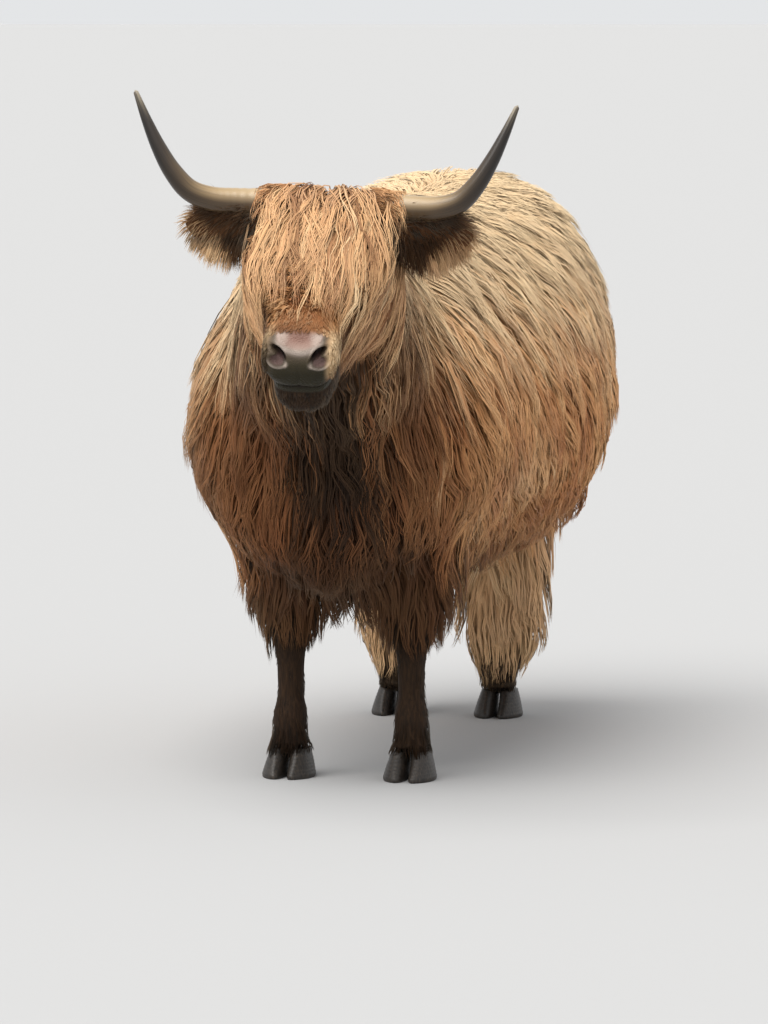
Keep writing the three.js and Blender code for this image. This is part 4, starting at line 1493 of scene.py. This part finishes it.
def mixNode(tree, base, colour, share=1.0, blend="MIX"):
    node = newNode(tree, "ShaderNodeMix", {"Factor": share}, data_type="RGBA", blend_type=blend,
                   clamp_factor=True)
    first, second = (socket for socket in node.inputs if socket.type == "RGBA")
    fill(first, base)
    fill(second, colour)
    return next(socket for socket in node.outputs if socket.type == "RGBA")


def rampNode(tree, value, stops):
    node = newNode(tree, "ShaderNodeValToRGB", {0: value})
    while len(node.color_ramp.elements) < len(stops):
        node.color_ramp.elements.new(0.5)
    for element, (spot, colour) in zip(node.color_ramp.elements, stops):
        element.position = spot
        element.color = (*colour[:3], 1)
    return node.outputs[0]


def mathNode(tree, operation, *values):
    return newNode(tree, "ShaderNodeMath", dict(enumerate(values)), operation=operation).outputs[0]


def rangeNode(tree, value, **ends):
    inputs = {"Value": value, **{name.replace("_", " "): end for name, end in ends.items()}}
    return newNode(tree, "ShaderNodeMapRange", inputs).outputs[0]


def partsOf(tree, vector):
    return newNode(tree, "ShaderNodeSeparateXYZ", {"Vector": vector}).outputs


def attributeOf(tree, name):
    return newNode(tree, "ShaderNodeAttribute", {}, attribute_name=name).outputs["Vector"]


def placeOf(tree):
    return newNode(tree, "ShaderNodeTexCoord", {}).outputs["Object"]


def noiseNode(tree, vector, scale, detail, stretch=None):
    if stretch:
        vector = newNode(tree, "ShaderNodeMapping", {"Vector": vector, "Scale": stretch}).outputs[0]
    return newNode(tree, "ShaderNodeTexNoise", {"Vector": vector, "Scale": scale, "Detail": detail}).outputs[0]


def addBump(tree, surface, height, strength, distance):
    bump = newNode(tree, "ShaderNodeBump", {"Height": height, "Strength": strength, "Distance": distance})
    fill(surface.inputs["Normal"], bump.outputs[0])


def sRGB(red, green, blue):
    return (*(v / 12.92 if v <= 0.04045 else ((v + 0.055) / 1.055) ** 2.4
              for v in (red / 255, green / 255, blue / 255)), 1)


coatColours = {
    "deep": sRGB(156, 94, 56),
    "ginger": sRGB(208, 140, 88),
    "gold": sRGB(246, 186, 126),
    "cream": sRGB(255, 222, 176),
    "brown": sRGB(130, 82, 50),
    "black": sRGB(21, 13, 5),
    "pale": sRGB(255, 229, 186),
}

toneSet = {
    "hues": [(0.0, "deep"), (0.33, "ginger"), (0.68, "gold"), (1.0, "cream")],
    "broad scale": 4.5,
    "broad detail": 3.0,
    "broad share": (0.9, -0.31),
    "chance share": 0.72,
    "brown share": 0.8,
    "pale share": 0.85,
    # Darker roots and lighter tips: partly the hair's own colour, partly painted shade deep in the coat.
    "root shade to tip": [(0.0, (0.60, 0.50, 0.42)), (0.36, (0.88, 0.83, 0.78)), (0.75, (1.0, 1.0, 1.0)),
                    (1.0, (1.12, 1.10, 1.06))],
    "spared from black": (-0.12, 1.02),
}


def coatToneGroup():
    tree = bpy.data.node_groups.new("coat tone", "ShaderNodeTree")
    for name, kind in (("Along", "Float"), ("Chance", "Float"), ("MarksAndShade", "Vector")):
        tree.interface.new_socket(name, in_out="INPUT", socket_type="NodeSocket" + kind)
    tree.interface.new_socket("Colour", in_out="OUTPUT", socket_type="NodeSocketColor")
    given = newNode(tree, "NodeGroupInput", {}).outputs
    dark, warm, pale = partsOf(tree, given["MarksAndShade"])
    broad = noiseNode(tree, placeOf(tree), toneSet["broad scale"], toneSet["broad detail"])
    offset = mathNode(tree, "MULTIPLY_ADD", broad, *toneSet["broad share"])
    tone = mathNode(tree, "MULTIPLY_ADD", given["Chance"], toneSet["chance share"], offset)
    colour = rampNode(tree, tone, [(spot, coatColours[name]) for spot, name in toneSet["hues"]])
    for paint, zone in (("brown", warm), ("pale", pale)):
        share = mathNode(tree, "MULTIPLY", zone, toneSet[paint + " share"])
        colour = mixNode(tree, colour, coatColours[paint], share)
    colour = mixNode(tree, colour, rampNode(tree, given["Along"], toneSet["root shade to tip"]), blend="MULTIPLY")
    spared = mathNode(tree, "MULTIPLY_ADD", given["Chance"], *toneSet["spared from black"])
    colour = mixNode(tree, colour, coatColours["black"], mathNode(tree, "MULTIPLY", spared, dark))
    newNode(tree, "NodeGroupOutput", {"Colour": colour})
    return tree


coatTone = coatToneGroup()


def coatColour(tree, along, chance):
    inputs = {"Along": along, "Chance": chance, "MarksAndShade": attributeOf(tree, "marksAndShade")}
    return newNode(tree, "ShaderNodeGroup", inputs, node_tree=coatTone).outputs["Colour"]


def newMaterial(name, **constants):
    material = bpy.data.materials.new(name)
    material.use_nodes = True
    surface = material.node_tree.nodes["Principled BSDF"]
    for socket, value in constants.items():
        surface.inputs[socket.replace("_", " ")].default_value = value
    return material, material.node_tree, surface


hairFinish = {"Roughness": 0.52, "Specular_IOR_Level": 0.14, "Sheen_Weight": 0.12, "Sheen_Roughness": 0.45,
              "Sheen_Tint": (1.0, 0.84, 0.64, 1)}
streakSet = {"stretch": (1.6, 60, 9), "tones": [(0.3, (0.72, 0.70, 0.68)), (0.7, (1.15, 1.15, 1.15))]}


def hairMaterial():
    material, tree, surface = newMaterial("coat hair", **hairFinish)
    strand = attributeOf(tree, "strand")
    along, chance, _ = partsOf(tree, strand)
    # fine streaks along each lock
    streaks = rampNode(tree, noiseNode(tree, strand, 1.0, 2.0, streakSet["stretch"]), streakSet["tones"])
    colour = mixNode(tree, coatColour(tree, along, chance), streaks, blend="MULTIPLY")
    fill(surface.inputs["Base Color"], colour)
    return material


# The nose darkens downward, with a paler top and nostril floor, and a paler ridge and nostril rims that are
# partly the skin's own colour and partly painted highlight.
noseSet = {
    "lowest": headPoint(0, 0.47, -0.080)[2],
    "highest": headPoint(0, 0.47, -0.030)[2],
    "tones": [(0.0, sRGB(36, 31, 11)), (0.45, sRGB(55, 48, 31)), (1.0, sRGB(98, 85, 70))],
    "zones": (sRGB(138, 104, 91), sRGB(186, 170, 158), sRGB(100, 78, 73)),
    "mottle": [(0.3, (0.86, 0.84, 0.83)), (0.7, (1.08, 1.08, 1.08))],
    # near black in the nostrils and along the mouth line: painted shade in these recesses
    "hollow": sRGB(30, 16, 15),
    "roughness": 0.40,
}
# The skin takes the coat colour at 0.40 along a lock, darker than the tips: painted shade for the skin seen
# between locks.
furSet = {"along": 0.40, "scale": 260, "stretch": (1, 1, 0.12), "roughness": 0.8, "udder": sRGB(186, 142, 122)}


def noseColour(tree, place):
    height = rangeNode(tree, partsOf(tree, place)[2], From_Min=noseSet["lowest"], From_Max=noseSet["highest"])
    colour = rampNode(tree, height, noseSet["tones"])
    for zone, paint in zip(partsOf(tree, attributeOf(tree, "muzzle")), noseSet["zones"]):
        colour = mixNode(tree, colour, paint, zone)
    mottle = rampNode(tree, noiseNode(tree, place, 38.0, 4.0), noseSet["mottle"])
    return mixNode(tree, colour, mottle, blend="MULTIPLY")


def skinMaterial():
    material, tree, surface = newMaterial("skin and short fur", Roughness=0.6, Specular_IOR_Level=0.22)
    place = placeOf(tree)
    bare, hollow, udder = partsOf(tree, attributeOf(tree, "bare"))
    fur = noiseNode(tree, place, furSet["scale"], 3.0, furSet["stretch"])
    colour = mixNode(tree, coatColour(tree, furSet["along"], fur), noseColour(tree, place), bare)
    # The nostrils and the mouth line are painted near black: painted shade in these recesses.
    colour = mixNode(tree, colour, noseSet["hollow"], hollow)
    fill(surface.inputs["Base Color"], mixNode(tree, colour, furSet["udder"], udder))
    rough = rangeNode(tree, bare, To_Min=furSet["roughness"], To_Max=noseSet["roughness"])
    fill(surface.inputs["Roughness"], rough)
    pores = newNode(tree, "ShaderNodeTexVoronoi", {"Vector": place, "Scale": 330.0}).outputs["Distance"]
    relief = newNode(tree, "ShaderNodeMix", {0: bare, 2: fur, 3: pores}, data_type="FLOAT").outputs[0]
    addBump(tree, surface, relief, 0.6, 0.0024)
    return material


hornColours = {
    "along": [(0.0, sRGB(128, 100, 70)), (0.12, sRGB(188, 164, 128)), (0.34, sRGB(166, 140, 102)),
              (0.50, sRGB(108, 89, 64)), (0.66, sRGB(64, 53, 42)), (0.86, sRGB(52, 44, 37)),
              (0.95, sRGB(104, 94, 80)), (1.0, sRGB(176, 164, 142))],
    # painted shade on the underside of each horn
    "underside": sRGB(66, 48, 32),
    "underside share": 0.85,
    "streak share": 0.34,
}


def hornMaterial():
    material, tree, surface = newMaterial("horn", Roughness=0.30, Specular_IOR_Level=0.5)
    grain = attributeOf(tree, "grain")
    along, upward, _ = partsOf(tree, grain)
    streaks = noiseNode(tree, grain, 2.4, 6.0, (1.6, 7, 7))
    centred = mathNode(tree, "SUBTRACT", streaks, 0.5)
    shifted = mathNode(tree, "MULTIPLY_ADD", centred, hornColours["streak share"], along)
    # The underside of the horn is darkened: painted shade.
    under = rangeNode(tree, upward, From_Min=0.65, From_Max=-0.15)
    share = mathNode(tree, "MULTIPLY", under, hornColours["underside share"])
    colour = rampNode(tree, shifted, hornColours["along"])
    fill(surface.inputs["Base Color"], mixNode(tree, colour, hornColours["underside"], share, "MULTIPLY"))
    addBump(tree, surface, streaks, 0.25, 0.0012)
    return material


hoofTones = [(0.3, sRGB(26, 22, 19)), (0.55, sRGB(46, 39, 33)), (0.75, sRGB(72, 61, 50))]


def hoofMaterial():
    material, tree, surface = newMaterial("hoof", Roughness=0.48)
    grain = noiseNode(tree, placeOf(tree), 300.0, 4.0, (1, 1, 0.18))
    fill(surface.inputs["Base Color"], rampNode(tree, grain, hoofTones))
    addBump(tree, surface, grain, 0.4, 0.001)
    return material


# from the pupil outward
eyeTones = [(0.0, sRGB(6, 6, 8)), (0.36, sRGB(8, 7, 8)), (0.42, sRGB(52, 30, 18)), (0.66, sRGB(70, 42, 24)),
            (0.74, sRGB(24, 15, 11)), (0.84, sRGB(150, 120, 104)), (1.0, sRGB(190, 160, 146))]


def eyeMaterial():
    material, tree, surface = newMaterial("eye", Roughness=0.06, Coat_Weight=1.0, Coat_Roughness=0.03)
    squash = {"Vector": attributeOf(tree, "gaze"), "Scale": (1.0, 1.25, 0.0)}
    flat = newNode(tree, "ShaderNodeMapping", squash).outputs[0]
    far = newNode(tree, "ShaderNodeVectorMath", {0: flat}, operation="LENGTH").outputs["Value"]
    fill(surface.inputs["Base Color"], rampNode(tree, far, eyeTones))
    return material


def dress(shape, material):
    shape.data.materials.clear()
    shape.data.materials.append(material)


hair = hairMaterial()
for piece in coatPieces:
    dress(piece, hair)
dress(skin, skinMaterial())
hornFinish, hoofFinish, eyeFinish = hornMaterial(), hoofMaterial(), eyeMaterial()
for horn in horns:
    dress(horn, hornFinish)
for claw in claws:
    dress(claw, hoofFinish)
for eye in eyes:
    dress(eye, eyeFinish)
report("materials")


for shape in [*coatPieces, *horns, *claws, *eyes, skin]:
    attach(shape, "root")
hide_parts(*trunkNodes, *tailNodes, "udder", "ear_left", "ear_right")
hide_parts("forelock")
for horn, node in zip(horns, ("horn_left", "horn_right")):
    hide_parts(node)
for claw in claws:
    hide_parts(claw.name.replace("hoof_", "claw_"))
for eye, node in zip(eyes, ("eye_left", "eye_right")):
    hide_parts(node)

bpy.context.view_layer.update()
report("done")
